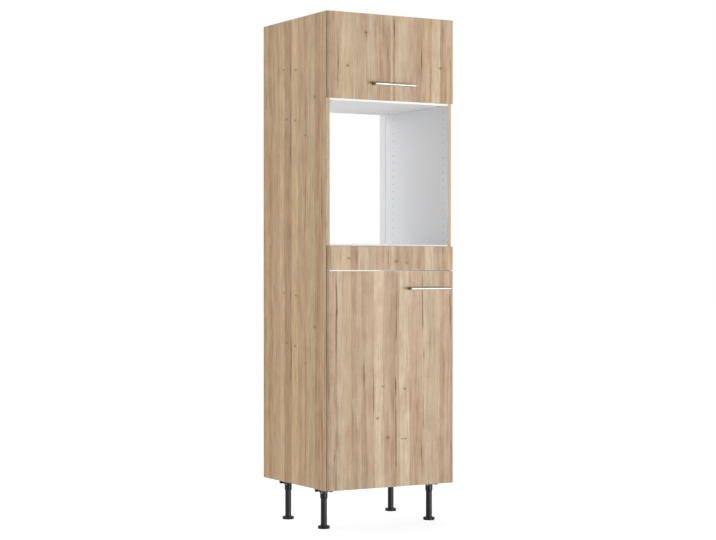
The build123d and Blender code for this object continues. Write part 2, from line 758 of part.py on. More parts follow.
# Angles on the flap, each with a stud beside the rod's eye
with BuildPart() as strut_flap_brackets:
    for side in SIDES:
        ear_x = side * (ear_outer_x - flap_bracket_thickness)
        plate_x = sorted((side * ear_outer_x, ear_x - side * flap_bracket_width))
        plate_half = flap_bracket_height / 2
        block(
            (plate_x[0], front_back_y, strut_top_z - plate_half),
            (plate_x[1], front_back_y + flap_bracket_thickness, strut_top_z + plate_half),
        )
        ear_point = (ear_x, strut_top_y, strut_top_z)
        with BuildSketch(Plane(origin=ear_point, x_dir=(0, 1, 0), z_dir=(side, 0, 0))):
            Circle(strut_eye_radius)
            ear_depth = strut_top_y - front_back_y
            with Locations((-ear_depth / 2, 0)):
                Rectangle(ear_depth, 2 * strut_eye_radius)
        extrude(amount=flap_bracket_thickness)
        stud_point = (side * ear_outer_x, strut_top_y, strut_top_z)
        with Locations(Plane(origin=stud_point, z_dir=(side, 0, 0))):
            Cylinder(strut_pin_diameter / 2, stud_length, align=TO_TOP)
    with Locations(*flap_bracket_seats(flap_bracket_thickness)):
        Hole(wood_screw_diameter / 2, flap_bracket_thickness)
pieces["strut_flap_brackets"] = strut_flap_brackets
pieces["strut_flap_screws"] = screws(
    flap_bracket_seats(flap_bracket_thickness), wood_screw_diameter, screw_depth + flap_bracket_thickness
)

# Soft buffers on the front edges of the sides, where the door and the flap close
edge_x = half_width - panel_thickness / 2
door_buffer_zs = (door_low_z + buffer_from_end, door_top_z - buffer_from_end)
door_buffer_points = [(edge_x, front_edge_y, z) for z in door_buffer_zs]
flap_buffer_points = [(side * edge_x, front_edge_y, flap_low_z + buffer_from_end) for side in SIDES]
for front, points in (("door", door_buffer_points), ("flap", flap_buffer_points)):
    with BuildPart() as buffers:
        with Locations(*facing(points, (0, -1, 0))):
            Cylinder(buffer_diameter / 2, front_gap - buffer_gap, align=TO_TOP)
    pieces[front + "_buffers"] = buffers

# Legs: sockets screwed under the bottom panel, tubes plugged into them, feet threaded into the tubes
collar_low = socket_depth + collar_length
socket_places = [(x, y, bottom_z) for x, y in leg_points]
with BuildPart() as leg_sockets:
    with Locations(*facing(socket_places, (0, 0, -1))):
        Box(socket_width, socket_width, socket_plate, align=TO_TOP)
        Cylinder(boss_diameter / 2, socket_depth, align=TO_TOP)
        Cylinder(collar_diameter / 2, collar_low - collar_taper, align=TO_TOP)
        with GridLocations(2 * lug_middle, 2 * lug_middle, 2, 2):
            Box(socket_lug, socket_lug, socket_depth, align=TO_TOP)
    taper_places = [(x, y, bottom_z - collar_low + collar_taper) for x, y in leg_points]
    with Locations(*facing(taper_places, (0, 0, -1))):
        Cone(collar_diameter / 2, tube_diameter / 2, collar_taper, align=TO_TOP)
    mouth_places = [(x, y, bottom_z - collar_low) for x, y in leg_points]
    with Locations(*facing(mouth_places, (0, 0, -1))):
        Hole(spigot_diameter / 2, spigot_length)
    with Locations(*leg_screw_seats(socket_depth)):
        Hole(wood_screw_diameter / 2, socket_depth)
pieces["leg_sockets"] = leg_sockets
leg_screw_depth = screw_depth + socket_depth
pieces["leg_screws"] = screws(leg_screw_seats(socket_depth), wood_screw_diameter, leg_screw_depth)

with BuildPart() as leg_tubes:
    tube_low = foot_height + foot_gap
    tube_high = bottom_z - collar_low
    with Locations(*[(x, y, tube_low) for x, y in leg_points]):
        Cylinder(tube_diameter / 2, tube_high - tube_low, align=TO_TOP)
    with Locations(*[(x, y, tube_high) for x, y in leg_points]):
        Cylinder(spigot_diameter / 2, spigot_length, align=TO_TOP)
    with Locations(*facing([(x, y, tube_low) for x, y in leg_points], (0, 0, -1))):
        Hole(stem_diameter / 2 + stem_clearance, stem_length + stem_spare)
pieces["leg_tubes"] = leg_tubes

leg_names = ("front_left", "front_right", "rear_left", "rear_right")
for leg_name, (x, y) in zip(leg_names, leg_points):
    with BuildPart() as foot:
        with Locations((x, y, 0)):
            Cylinder(foot_diameter / 2, foot_height, align=TO_TOP)
        fillet(foot.edges().filter_by(GeomType.CIRCLE), foot_round)
        with Locations((x, y, 0)):
            with PolarLocations(foot_diameter / 2, foot_notches):
                Cylinder(foot_notch_diameter / 2, foot_height, align=TO_TOP, mode=Mode.SUBTRACT)
        with Locations((x, y, foot_height)):
            Cylinder(stem_diameter / 2, stem_length, align=TO_TOP)
    pieces["foot_" + leg_name] = foot

os.makedirs("parts", exist_ok=True)
for name, piece in pieces.items():
    piece.part.label = name
    export_step(piece.part, "parts/" + name + ".step")
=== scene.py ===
"""Looks of a tall oven housing cabinet: finishes of its boards and fittings, moulded details and a stage."""

import json
from math import cos, pi, radians, sin, sqrt

import bmesh
import bpy
from mathutils import Matrix, Vector


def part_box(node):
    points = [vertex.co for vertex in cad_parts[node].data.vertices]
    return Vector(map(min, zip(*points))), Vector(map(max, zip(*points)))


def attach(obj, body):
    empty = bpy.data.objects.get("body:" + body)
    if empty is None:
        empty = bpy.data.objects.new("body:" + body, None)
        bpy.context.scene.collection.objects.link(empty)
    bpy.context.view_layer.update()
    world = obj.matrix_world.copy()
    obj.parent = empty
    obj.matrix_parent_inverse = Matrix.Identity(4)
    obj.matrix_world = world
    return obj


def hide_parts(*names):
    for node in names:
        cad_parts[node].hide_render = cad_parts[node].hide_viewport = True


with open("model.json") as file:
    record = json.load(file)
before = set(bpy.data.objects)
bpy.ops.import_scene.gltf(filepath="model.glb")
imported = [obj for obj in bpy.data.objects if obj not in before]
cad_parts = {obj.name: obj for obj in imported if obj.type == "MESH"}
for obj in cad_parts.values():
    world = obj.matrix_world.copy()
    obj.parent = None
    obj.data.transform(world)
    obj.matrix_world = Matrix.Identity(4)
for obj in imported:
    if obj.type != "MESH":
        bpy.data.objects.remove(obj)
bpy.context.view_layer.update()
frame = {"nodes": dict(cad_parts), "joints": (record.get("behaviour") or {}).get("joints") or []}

bl_info = {
    "name": "Oven housing cabinet",
    "version": (1, 0, 0),
    "blender": (4, 5, 0),
    "location": "3D View > Sidebar > Cabinet",
    "description": "Finishes and moulded details of a tall oven housing cabinet",
    "category": "Object",
}

# A millimetre, the boards' skins and their places read from the frame, all in metres
MM = 0.001
SKIN = 0.4 * MM
GROOVE_ROOM = 1.5 * MM
SIDE_LOW, SIDE_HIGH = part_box("right_side_panel")
DOOR_LOW, DOOR_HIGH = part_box("door_panel")
FLAP_LOW, FLAP_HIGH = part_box("flap_panel")
FASCIA_LOW, FASCIA_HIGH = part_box("fascia_panel")
INNER_X = SIDE_LOW.x
OUTER_X = SIDE_HIGH.x
SIDE_DEPTH = SIDE_HIGH.y - SIDE_LOW.y
FRONT_WIDTH = DOOR_HIGH.x - DOOR_LOW.x

# The oak decor of each board, in millimetres from its lower left corner or, on the sides, from the lower
# front corner: strips with their width and tone, cracks with their place, lower end, upper end and strength,
# and knots with their place, height and radius
DECORS = {
    "door": {
        "strips": (
            (9, "brown"), (21, "pink"), (6, "brown"), (24, "sage"), (44, "beige"), (26, "brown"),
            (20, "beige"), (25, "brown"), (38, "pink"), (45, "cream"), (32, "pink"), (26, "brown"),
            (18, "beige"), (47, "cream"), (65, "pink"), (46, "sage"), (38, "beige"), (24, "brown"),
            (26, "pink"), (16, "brown"),
        ),
        "cracks": (
            (32, 545, 860, 0.7), (33, 680, 775, 1.0), (27, 110, 165, 0.7), (26, 330, 470, 0.45),
            (167, 410, 530, 0.75), (212, 305, 470, 0.6), (319, 365, 465, 1.0), (321, 600, 885, 0.65),
            (317, 60, 345, 0.7), (446, 640, 880, 0.7), (451, 515, 570, 1.0), (452, 230, 390, 0.55),
            (441, 105, 170, 0.7), (550, 400, 560, 0.5), (584, 660, 815, 0.7),
        ),
        "knots": ((255, 416, 5), (230, 287, 6), (362, 404, 6), (345, 197, 4), (362, 197, 4.5), (278, 205, 7)),
    },
    "flap": {
        "strips": (
            (30, "brown"), (24, "beige"), (52, "straw"), (75, "beige"), (35, "sage"), (34, "pink"),
            (40, "brown"), (10, "straw"), (10, "brown"), (30, "straw"), (36, "sage"), (40, "pink"),
            (34, "brown"), (40, "amber"), (40, "cream"), (30, "brown"), (36, "amber"),
        ),
        "cracks": (
            (42, 20, 235, 0.5), (43, 105, 175, 1.0), (175, 240, 280, 0.8), (273, 245, 290, 0.6),
            (277, 140, 230, 0.6), (308, 250, 352, 0.75), (305, 150, 200, 0.4), (440, 125, 230, 0.8),
            (486, 20, 155, 0.45), (179, 10, 90, 0.4),
        ),
        "knots": ((87, 134, 6), (174, 274, 5), (533, 147, 6)),
    },
    "fascia": {
        "strips": (
            (9, "brown"), (23, "sage"), (66, "straw"), (40, "brown"), (82, "sage"), (62, "pink"),
            (32, "straw"), (81, "brown"), (25, "pink"), (36, "brown"), (41, "cream"), (65, "brown"),
            (34, "amber"),
        ),
        "cracks": ((130, 20, 80, 0.5), (281, 0, 98, 0.6), (425, 0, 60, 0.4), (548, 55, 110, 0.7)),
        "knots": ((96, 49, 6), (320, 36, 7), (370, 30, 5)),
    },
    "side": {
        "strips": (
            (32, "beige"), (5, "brown"), (15, "pink"), (46, "brown"), (62, "sage"), (20, "beige"),
            (6, "brown"), (59, "beige"), (57, "straw"), (68, "brown"), (41, "straw"), (69, "beige"),
            (34, "brown"), (32, "amber"), (20, "brown"),
        ),
        "cracks": (
            (34, -60, 1000, 0.3), (38, 130, 340, 0.7), (39, 165, 215, 1.0), (180, 105, 360, 0.45),
            (182, 490, 660, 0.4), (312, 415, 620, 0.7), (318, 420, 470, 0.7), (311, 750, 835, 0.7),
            (465, 795, 845, 0.6), (96, 560, 900, 0.3),
        ),
        "knots": (
            (265, 791, 6), (375, 801, 5), (275, 580, 6), (350, 590, 6), (187, 512, 4), (100, 664, 7),
        ),
    },
}
PRINT_REPEAT = 945 * MM
RIGHT_SHIFT = 410 * MM
EDGE_PALENESS = 0.15

# Each board's own place in the noise
SEEDS = {"flap": 3.7, "fascia": 8.2, "door": 14.6, "left": 21.4, "right": 33.9}

# Layers of the oak decor: waves per metre across and along the grain, place in the noise, detail, roughness
FIGURE = {
    "slow": (3.0, 1.6, 0.0, 1.0, 0.5),
    "sway": (10.0, 6.5, 2.2, 2.0, 0.5),
    "ripple": (70.0, 9.0, 3.1, 3.0, 0.6),
    "split": (260.0, 5.0, 5.3, 2.0, 0.5),
    "bands": (48.0, 2.2, 7.7, 4.0, 0.68),
    "streaks": (150.0, 5.0, 9.9, 3.0, 0.7),
    "grain": (620.0, 11.0, 11.9, 2.0, 0.65),
    "years": (11.0, 0.6, 13.1, 2.0, 0.5),
    "late": (24.0, 2.2, 15.0, 2.0, 0.5),
    "cloud": (17.0, 4.6, 17.3, 3.0, 0.5),
    "patches": (26.0, 10.0, 19.7, 3.0, 0.6),
    "groups": (17.0, 1.9, 25.0, 1.0, 0.5),
    "dashes": (130.0, 6.0, 27.0, 2.0, 0.5),
    "fibre": (330.0, 4.0, 29.5, 1.0, 0.5),
    "pores": (1500.0, 45.0, 31.0, 1.0, 0.5),
    "fleck": (24.0, 85.0, 37.0, 2.0, 0.5),
    "nicks": (110.0, 50.0, 41.0, 3.0, 0.6),
}
# Where a mark starts and where it is full in its layer, and how much darker it makes the decor
MARKS = {
    "late": (0.42, 0.62, 0.08),
    "groups": (0.40, 0.60, 1.0),
    "dashes": (0.52, 0.64, 0.18),
    "fibre": (0.58, 0.72, 0.11),
    "pores": (0.60, 0.70, 0.08),
}
FLECK_STRENGTH = 0.07
YEARS_PER_METRE = 95.0
YEARS_STRAY = 7.0
YEAR_DARK = (0.45, 1.0)
PINK_CLOUD = (0.50, 0.66)
PINK_STRENGTH = 0.5
SAGE_CLOUD = (0.34, 0.48)
SAGE_STRENGTH = 0.45

# Shares of the decor's wander
SWAY_SHARE = 0.5
RAGGED_SHARE = 0.5
SPLIT_SHARE = 0.9
KNOT_SHARE = 0.3
CRACK_SHARE = 0.25

# Cracks and knots
CRACK_HALF_WIDTH = 3.0 * MM
CRACK_SOFT = 0.7 * MM
CRACK_NICKS = 4.0 * MM
CRACK_BESIDE = 7.0 * MM
CRACK_TAPER = 0.06
CRACK_BROWN = 0.16
KNOT_FLATNESS = 0.65
KNOT_STRETCH = 0.5
KNOT_REACH = 4.0
KNOT_PUSH = 0.5
KNOT_CORE = (0.55, 0.95)
KNOT_RING = (0.42, 0.58, 0.74)
KNOT_HALO = (0.30, 0.85)
CORE_DARK = 0.6
RING_DARK = 0.10
HALO_DARK = 0.08
DARKEST = 0.95
SHADE_WARMTH = 0.22

# Brush marks or grains per metre of the metals, along the three axes
BRUSHED = (25.0, 2600.0, 2600.0)
TURNED = (350.0, 2600.0, 350.0)
DRAWN = (300.0,) * 3
PRESSED = (420.0,) * 3
CAST = (650.0,) * 3
CRIMPED = (700.0,) * 3
PLATED = (900.0,) * 3

# Legs, in metres, with the foot's profiles in millimetres: radius or inset, and height on a foot 12 mm high
LEG_NAMES = ("front_left", "front_right", "rear_left", "rear_right")
FOOT_RADIUS = 24.5 * MM
FOOT_POINTS = 144
FOOT_HEIGHT = 12.0
FOOT_SOLE = ((9.0, 0.8), (15.0, 0.8), (15.6, 0.0))
FOOT_RIM = ((1.6, 0.0), (0.5, 0.4), (0.0, 1.5), (0.0, 10.2), (0.6, 11.5), (2.0, 12.0))
FOOT_TOP = ((18.2, 12.0), (17.8, 11.3), (16.2, 11.3), (15.8, 12.0), (7.2, 12.0))
FOOT_CLEARANCE = 0.2 * MM
NOTCH_RADIUS = 4.0 * MM
NOTCH_COUNT = 8
STEM_RADIUS = 7.0 * MM
STEM_CHAMFER = 1.0 * MM
THREAD_RUN_OUT = 2.0 * MM
RIDGE_HEIGHT = 1.5
RIDGE_SINK = 1.05
SOCKET_PLATE = 4.0 * MM
RIB_INNER = 19.5 * MM
RIB_OUTER = 27.5 * MM
RIB_TIP = 1.2 * MM
RIB_ROUND = 0.3 * MM
RIBS = 4

# Hinge adjusting screws, in metres, with the head's profile: shares of its radius and millimetres of height
HINGE_ARM_WIDTH = 12.0 * MM
ADJUSTER_FROM_END = 14.0 * MM
ADJUSTER_SPACING = 24.0 * MM
ADJUSTER_POINTS = 32
ADJUSTER_HEAD = ((1.0, 0.0), (1.0, 0.8), (0.9, 1.2), (0.7, 1.4))
SLOT_LENGTH = 0.62
SLOT_WIDTH = 0.16
SLOT_TAPER = 0.85
SLOT_FLOOR = 0.5 * MM

# Strut rings, in millimetres: radius, and distance from the tube's mouth on a ring 5 mm wide
STRUT_RADIUS = 9.0 * MM
GLAND_POINTS = 40
GLAND_WIDTH = 5.0
GLAND_PROFILE = ((4.2, 0.2), (4.2, 0.5), (8.0, 0.5), (8.8, 0.2), (9.2, -0.6), (9.2, -4.2), (8.95, -5.0))

# Lamps, in metres: size, place and the point they face
KEY_LAMP = ((4.2, 1.2), (2.6, -6.9, 0.62), (0.0, 0.0, 0.7))
GLOSS_LAMP = ((0.3, 1.3), (3.1, -4.4, 0.7), (0.0, 0.0, 0.6))

# Where the surround turns bright, towards the back and the left, where mirrors see it dimmer, and the floor
BRIGHT_BACK = 0.95
BRIGHT_LEFT = 0.31
BRIGHT_EDGES = (-0.33, 0.5)
DIM_BEFORE = (-0.4, 0.4)
DIM_ABOVE = (0.05, 0.75)
FLOOR_REACH = 30.0
FLOOR_SEEN = 0.6
FLOOR_MIRRORED = 0.1


def tint(name, description, default):
    """A colour that a user may change."""
    return bpy.props.FloatVectorProperty(
        name=name, description=description, subtype="COLOR", size=3, min=0.0, soft_max=1.0, default=default
    )


def amount(name, description, default, **kind):
    """A number that a user may change, with its unit, subtype or limits."""
    return bpy.props.FloatProperty(name=name, description=description, default=default, **kind)


def length(name, description, default):
    """A size in metres that a user may change."""
    return amount(name, description, default, unit="LENGTH", min=0.0)


def share(name, description, default):
    """A share from 0 to 1 that a user may change."""
    return amount(name, description, default, subtype="FACTOR", min=0.0, max=1.0)


class OakLook(bpy.types.PropertyGroup):
    """Tones and grain of the printed oak decor."""

    cream: tint("Cream", "Lightest strips", (0.690, 0.556, 0.392))
    straw: tint("Straw", "Light yellowish strips", (0.650, 0.498, 0.330))
    beige: tint("Beige", "Common strips", (0.575, 0.427, 0.282))
    pink: tint("Pink", "Reddish strips", (0.570, 0.408, 0.280))
    brown: tint("Brown", "Darkest strips", (0.490, 0.342, 0.226))
    sage: tint("Sage", "Greyish strips", (0.585, 0.464, 0.322))
    amber: tint("Amber", "Orange strips", (0.590, 0.420, 0.260))
    # Painted shade: the sides carry the same decor as the fronts, and this tint stands in for the different
    # light that falls on them
    warmth: tint("Warmth", "Tint of the sides, which are warmer than the fronts", (1.06, 0.99, 0.87))
    crack: tint("Crack", "Cracks and knots", (0.135, 0.078, 0.045))
    wander: length("Wander", "How far the strips' borders wander sideways", 0.016)
    bands: share("Bands", "Contrast of the wide streaks", 0.56)
    streaks: share("Streaks", "Contrast of the narrow streaks", 0.42)
    patches: share("Patches", "Contrast of the patches along the grain", 0.50)
    grain: share("Grain", "Contrast of the fine grain", 0.25)
    roughness: share("Roughness", "Roughness of the matt decor", 0.55)


class BoardLook(bpy.types.PropertyGroup):
    """Finish of the white boards and of their raw cores."""

    white: tint("White", "White melamine of the inner faces", (0.89, 0.893, 0.90))
    chips: tint("Chips", "Light chips of the raw core", (0.60, 0.45, 0.29))
    glue: tint("Glue", "Dark chips and glue of the raw core", (0.27, 0.175, 0.10))
    fibre: tint("Fibre", "Brown back of the hardboard", (0.25, 0.15, 0.085))
    roughness: share("Roughness", "Roughness of the melamine", 0.42)


class MetalLook(bpy.types.PropertyGroup):
    """Finish of the metal fittings."""

    steel: tint("Steel", "Brushed steel of the bar handles", (0.60, 0.575, 0.53))
    # Painted shade: the posts are the same steel as the bars, coloured darker to stand in for the shade on
    # them
    shade: tint("Shade", "Dull steel of the handles' posts", (0.29, 0.265, 0.24))
    nickel: tint("Nickel", "Plated hinges and brackets", (0.60, 0.59, 0.57))
    zinc: tint("Zinc", "Plated screws", (0.60, 0.61, 0.62))
    # Painted shade: the cams are coloured near black to stand in for the shade in their recesses
    cam_painted_shade: tint("Casting", "Die cast cams", (0.045, 0.045, 0.05))
    chrome: tint("Chrome", "Polished strut rods", (0.78, 0.78, 0.79))
    roughness: share("Roughness", "Roughness of the brushed steel", 0.42)


class PlasticLook(bpy.types.PropertyGroup):
    """Finish of the legs, struts, buffers and dowels."""

    black: tint("Black", "Moulded legs and feet", (0.008, 0.008, 0.009))
    lacquer: tint("Lacquer", "Black strut tubes", (0.012, 0.012, 0.013))
    rubber: tint("Rubber", "Soft buffers", (0.62, 0.62, 0.60))
    beech: tint("Beech", "Wooden dowels", (0.63, 0.44, 0.27))
    roughness: share("Roughness", "Roughness of the moulded plastic", 0.34)


class DetailSizes(bpy.types.PropertyGroup):
    """Sizes of the details that are added to the fittings."""

    thread_pitch: length("Thread pitch", "Rise of the foot's thread in one turn", 0.003)
    thread_depth: length("Thread depth", "Height of the foot's thread", 0.0008)
    rib_thickness: length("Rib thickness", "Thickness of a leg socket's rib", 0.002)
    rib_height: length("Rib height", "How far a rib comes down the boss", 0.009)
    adjuster_diameter: length("Adjuster diameter", "Head of a hinge's adjusting screw", 0.007)
    gland_width: length("Gland width", "Width of the ring at a strut's mouth", 0.005)


class StageLook(bpy.types.PropertyGroup):
    """Camera, lamps and floor."""

    eye: bpy.props.FloatVectorProperty(
        name="Eye", description="Place of the camera", subtype="TRANSLATION", size=3,
        default=(-3.7059, -6.4865, 1.0740),
    )
    turn: amount("Turn", "Turn of the level camera", radians(-29.703), subtype="ANGLE")
    lens: amount("Lens", "Focal length in millimetres", 88.01)
    rise: amount("Rise", "Vertical shift of the camera", -0.0032)
    before: amount("Before", "Light of the surround before the fronts", 0.10)
    behind: amount("Behind", "Light of the surround behind and to the left", 1.47)
    dim: amount("Dim", "How dark mirrors see it overhead and before", 0.5)
    key: amount("Key", "Power of the front lamp", 281.0, unit="POWER")
    gloss: amount("Gloss", "Power of the strip lamp", 26.0, unit="POWER")
    glow: amount("Glow", "Brightness that lifts the floor to white", 1.4)
    floor: tint("Floor", "Colour of the floor", (0.82, 0.82, 0.82))


class Value:
    """A shader socket that takes part in sums, products and steps."""

    def __init__(self, recipe, socket):
        self.recipe = recipe
        self.socket = socket

    def math(self, operation, *others):
        return self.recipe.node("ShaderNodeMath", dict(enumerate((self, *others))), {"operation": operation})

    def __add__(self, other):
        return self.math("ADD", other)

    def __sub__(self, other):
        return self.math("SUBTRACT", other)

    def __rsub__(self, other):
        return self.recipe.node("ShaderNodeMath", {0: other, 1: self}, {"operation": "SUBTRACT"})

    def __mul__(self, other):
        return self.math("MULTIPLY", other)

    def __truediv__(self, other):
        return self.math("DIVIDE", other)

    def __abs__(self):
        return self.math("ABSOLUTE")

    __radd__ = __add__
    __rmul__ = __mul__

    def step(self, low, high):
        """0 below low, 1 above high and smooth between them."""
        sockets = {"Value": self, "From Min": low, "From Max": high}
        return self.recipe.node("ShaderNodeMapRange", sockets, {"interpolation_type": "SMOOTHSTEP"})

    def within(self, low, high, soft):
        """1 between low and high, and 0 outside, with soft ends inside them."""
        return self.step(low, low + soft) * (1.0 - self.step(high - soft, high))


class Recipe:
    """A node tree under construction, of a material unless another tree is given."""

    def __init__(self, name, tree=None):
        if tree is None:
            self.material = bpy.data.materials.new(name)
            self.material.use_nodes = True
            tree = self.material.node_tree
        self.tree = tree
        self.tree.nodes.clear()

    def node(self, kind, sockets=None, settings=None, out=0):
        """Adds a node, with its settings set first, and returns one of its outputs."""
        made = self.tree.nodes.new(kind)
        for key, value in (settings or {}).items():
            setattr(made, key, value)
        for key, value in (sockets or {}).items():
            socket = made.inputs[key]
            if isinstance(value, Value):
                self.tree.links.new(value.socket, socket)
            elif socket.type == "RGBA":
                socket.default_value = (*value[:3], 1.0)
            else:
                socket.default_value = value
        return Value(self, made.outputs[out]) if made.outputs else None

    def outputs(self, value):
        """All outputs of the node that a value comes from."""
        return [Value(self, socket) for socket in value.socket.node.outputs]

    def place(self, kind="Object"):
        """The x, y and z of the point, in the object's own frame or in another kind of coordinates."""
        point = self.node("ShaderNodeTexCoord", out=kind)
        return self.outputs(self.node("ShaderNodeSeparateXYZ", {"Vector": point}))

    def vector(self, x, y, z):
        return self.node("ShaderNodeCombineXYZ", {"X": x, "Y": y, "Z": z})

    def noise(self, x, y, z, detail=2.0, roughness=0.5):
        """Soft noise whose grains are about one unit wide."""
        sockets = {"Vector": self.vector(x, y, z), "Scale": 1.0, "Detail": detail, "Roughness": roughness}
        return self.node("ShaderNodeTexNoise", sockets)

    def speckle(self, place, waves, detail=2.0, roughness=0.5):
        """Noise with the same number of waves per metre along all axes."""
        return self.noise(*[value * waves for value in place], detail, roughness)

    def cells(self, x, y, z):
        """Distance to the middle of the nearest cell, and the cell's own random colour."""
        sockets = {"Vector": self.vector(x, y, z), "Scale": 1.0, "Randomness": 1.0}
        return self.outputs(self.node("ShaderNodeTexVoronoi", sockets, {"feature": "F1"}))[:2]

    def ramp(self, value, stops):
        """A stepped ramp, whose stops are each a position and a colour."""
        made = self.node("ShaderNodeValToRGB", {"Fac": value})
        ramp = made.socket.node.color_ramp
        ramp.interpolation = "CONSTANT"
        while len(ramp.elements) < len(stops):
            ramp.elements.new(1.0)
        for element, (position, colour) in zip(ramp.elements, stops):
            element.position = position
            element.color = (*colour[:3], 1.0)
        return made

    def mix(self, factor, first, second, blend="MIX"):
        """A blend of two colours."""
        settings = {"data_type": "RGBA", "blend_type": blend}
        return self.node("ShaderNodeMix", {0: factor, 6: first, 7: second}, settings, out=2)

    def shaded(self, colour, factor, warmth=0.0):
        """A colour made lighter or darker by a value, and redder where darker if it has warmth."""
        shares = (1.0 - warmth, 1.0, 1.0 + warmth)
        parts = {i: 1.0 + (factor - 1.0) * part if warmth else factor for i, part in enumerate(shares)}
        return self.mix(1.0, colour, self.node("ShaderNodeCombineColor", parts), "MULTIPLY")

    def bump(self, height, strength, distance):
        sockets = {"Strength": strength, "Distance": distance, "Height": height}
        return self.node("ShaderNodeBump", sockets)

    def surface(self, **sockets):
        """Ends the material in one shader, whose sockets are named with underscores for spaces."""
        named = {key.replace("_", " "): value for key, value in sockets.items()}
        shader = self.node("ShaderNodeBsdfPrincipled", named)
        self.node("ShaderNodeOutputMaterial", {"Surface": shader})
        return self.material


def strip_stops(strips, look):
    """A stop where each strip starts."""
    total = sum(width for width, tone in strips)
    stops = []
    start = 0.0
    for width, tone in strips:
        stops.append((start / total, getattr(look, tone)))
        start += width
    return stops


def crack_marks(u, z, cracks):
    """The cracks, which run out at both ends, and the brown wood beside them, both from 0 to 1."""
    dark = brown = 0.0
    for place, low, high, strength in cracks:
        reach = (high - low) / 2 * MM - abs(z - (low + high) / 2 * MM)
        inside = (reach * CRACK_TAPER).math("MINIMUM", CRACK_HALF_WIDTH * strength) - abs(u - place * MM)
        dark = (inside.step(-CRACK_SOFT, CRACK_SOFT) * strength).math("MAXIMUM", dark)
        brown = (inside.step(-CRACK_BESIDE, 0.0) * strength).math("MAXIMUM", brown)
    return dark, brown


def knot_marks(u, z, knots):
    """The knots, 1 at the heart and 0 at their reach, and how far the grain is pushed aside by them."""
    heart = push = 0.0
    for place, height, radius in knots:
        across = (u - place * MM) / (radius * MM)
        up = (z - height * MM) / (KNOT_FLATNESS * radius * MM)
        distance = (across * across + up * up * KNOT_STRETCH).math("SQRT")
        near = (1.0 - distance / KNOT_REACH).math("MAXIMUM", 0.0)
        push = near * across * (KNOT_PUSH * radius * MM) + push
        core = (across * across + up * up).math("SQRT")
        heart = (1.0 - core / KNOT_REACH).math("MAXIMUM", heart)
    return heart, push


def oak_layers(recipe, look, u, z, width, decor, seed, shift=0.0):
    """Colour, roughness and height of oak decor, with u across the grain and z up from the board's end."""

    def figure(name, across):
        """A layer of noise, from 0 to 1."""
        waves_across, waves_along, place, detail, roughness = FIGURE[name]
        return recipe.noise(across * waves_across, z * waves_along, seed + place, detail, roughness)

    def contrast(name, across, strength):
        """A layer of noise about 0."""
        return (figure(name, across) - 0.5) * strength

    def mark(name, across):
        """1 where a mark of that name is."""
        return figure(name, across).step(*MARKS[name][:2])

    wander = look.wander
    lean = contrast("slow", u, wander) + contrast("sway", u, SWAY_SHARE * wander)
    ripple = contrast("ripple", u, wander)
    printed = (z + shift).math("WRAP", PRINT_REPEAT, 0.0)
    heart, push = knot_marks(u + lean + ripple * KNOT_SHARE, printed, decor["knots"])
    along = u + lean - push
    ragged = along + ripple * RAGGED_SHARE
    split = along + contrast("split", u, SPLIT_SHARE * wander)
    stops = strip_stops(decor["strips"], look)
    colour = recipe.mix(0.5, recipe.ramp(ragged / width, stops), recipe.ramp(split / width, stops))

    cloud = figure("cloud", along)
    colour = recipe.mix(cloud.step(*PINK_CLOUD) * PINK_STRENGTH, colour, look.pink)
    colour = recipe.mix((1.0 - cloud.step(*SAGE_CLOUD)) * SAGE_STRENGTH, colour, look.sage)

    grain = figure("grain", along) - 0.5
    years = (along * YEARS_PER_METRE + figure("years", u) * YEARS_STRAY).math("FRACT")
    pores = mark("pores", along)
    lightness = 1.0 + contrast("bands", along, look.bands) + contrast("streaks", along, look.streaks)
    lightness = lightness + contrast("patches", along, look.patches) + grain * look.grain
    marked = {
        "late": years.step(*YEAR_DARK) * mark("late", u),
        "dashes": mark("dashes", along) * mark("groups", along),
        "fibre": mark("fibre", along),
        "pores": pores,
    }
    for name, where in marked.items():
        lightness = lightness - where * MARKS[name][2]
    lightness = lightness + contrast("fleck", u, FLECK_STRENGTH)

    cracked = along + ripple * CRACK_SHARE + contrast("nicks", u, CRACK_NICKS)
    crack, brown = crack_marks(cracked, printed, decor["cracks"])
    ring = heart.step(*KNOT_RING[:2]) * (1.0 - heart.step(*KNOT_RING[1:]))
    dark = (crack + heart.step(*KNOT_CORE) * CORE_DARK + ring * RING_DARK).math("MINIMUM", DARKEST)
    lightness = lightness - heart.step(*KNOT_HALO) * HALO_DARK - brown * CRACK_BROWN
    colour = recipe.mix(dark, recipe.shaded(colour, lightness, SHADE_WARMTH), look.crack)

    roughness = look.roughness + grain * 0.16 + pores * 0.1 + dark * 0.15
    height = grain * 0.6 - pores * 0.6 - dark
    return colour, roughness, height


def white_layers(recipe, look, place):
    """Colour, roughness and height of white melamine with a faint pearl texture."""
    mottle = recipe.speckle(place, 18.0, detail=3.0)
    pearl = recipe.speckle(place, 900.0, detail=1.0)
    colour = recipe.shaded(look.white, 0.985 + mottle * 0.03)
    roughness = look.roughness + (mottle - 0.5) * 0.1 + (pearl - 0.5) * 0.12
    return colour, roughness, pearl


def chip_layers(recipe, look, place):
    """Colour, roughness and height of a board's raw core of pressed chips."""
    x, y, z = place
    distance, shade = recipe.cells(x * 420.0, y * 420.0, z * 300.0)
    tone = recipe.node("ShaderNodeSeparateColor", {"Color": shade})
    dust = recipe.speckle(place, 1300.0)
    colour = recipe.mix((tone * 0.8 + dust * 0.3).step(0.2, 1.0), look.glue, look.chips)
    colour = recipe.shaded(colour, 1.1 - distance * 0.45)
    return colour, 0.85 + (dust - 0.5) * 0.15, distance


def layered(recipe, mask, below, above):
    """Two sets of colour, roughness and height, the second where the mask is 1."""
    colour = recipe.mix(mask, below[0], above[0])
    return (colour, *[a + (b - a) * mask for a, b in zip(below[1:], above[1:])])


def finished(recipe, layers, distance=0.3 * MM):
    """Ends a board's material in its colour, roughness and height."""
    colour, roughness, height = layers
    normal = recipe.bump(height, 0.25, distance)
    return recipe.surface(Base_Color=colour, Roughness=roughness, Normal=normal, Specular_IOR_Level=0.22)


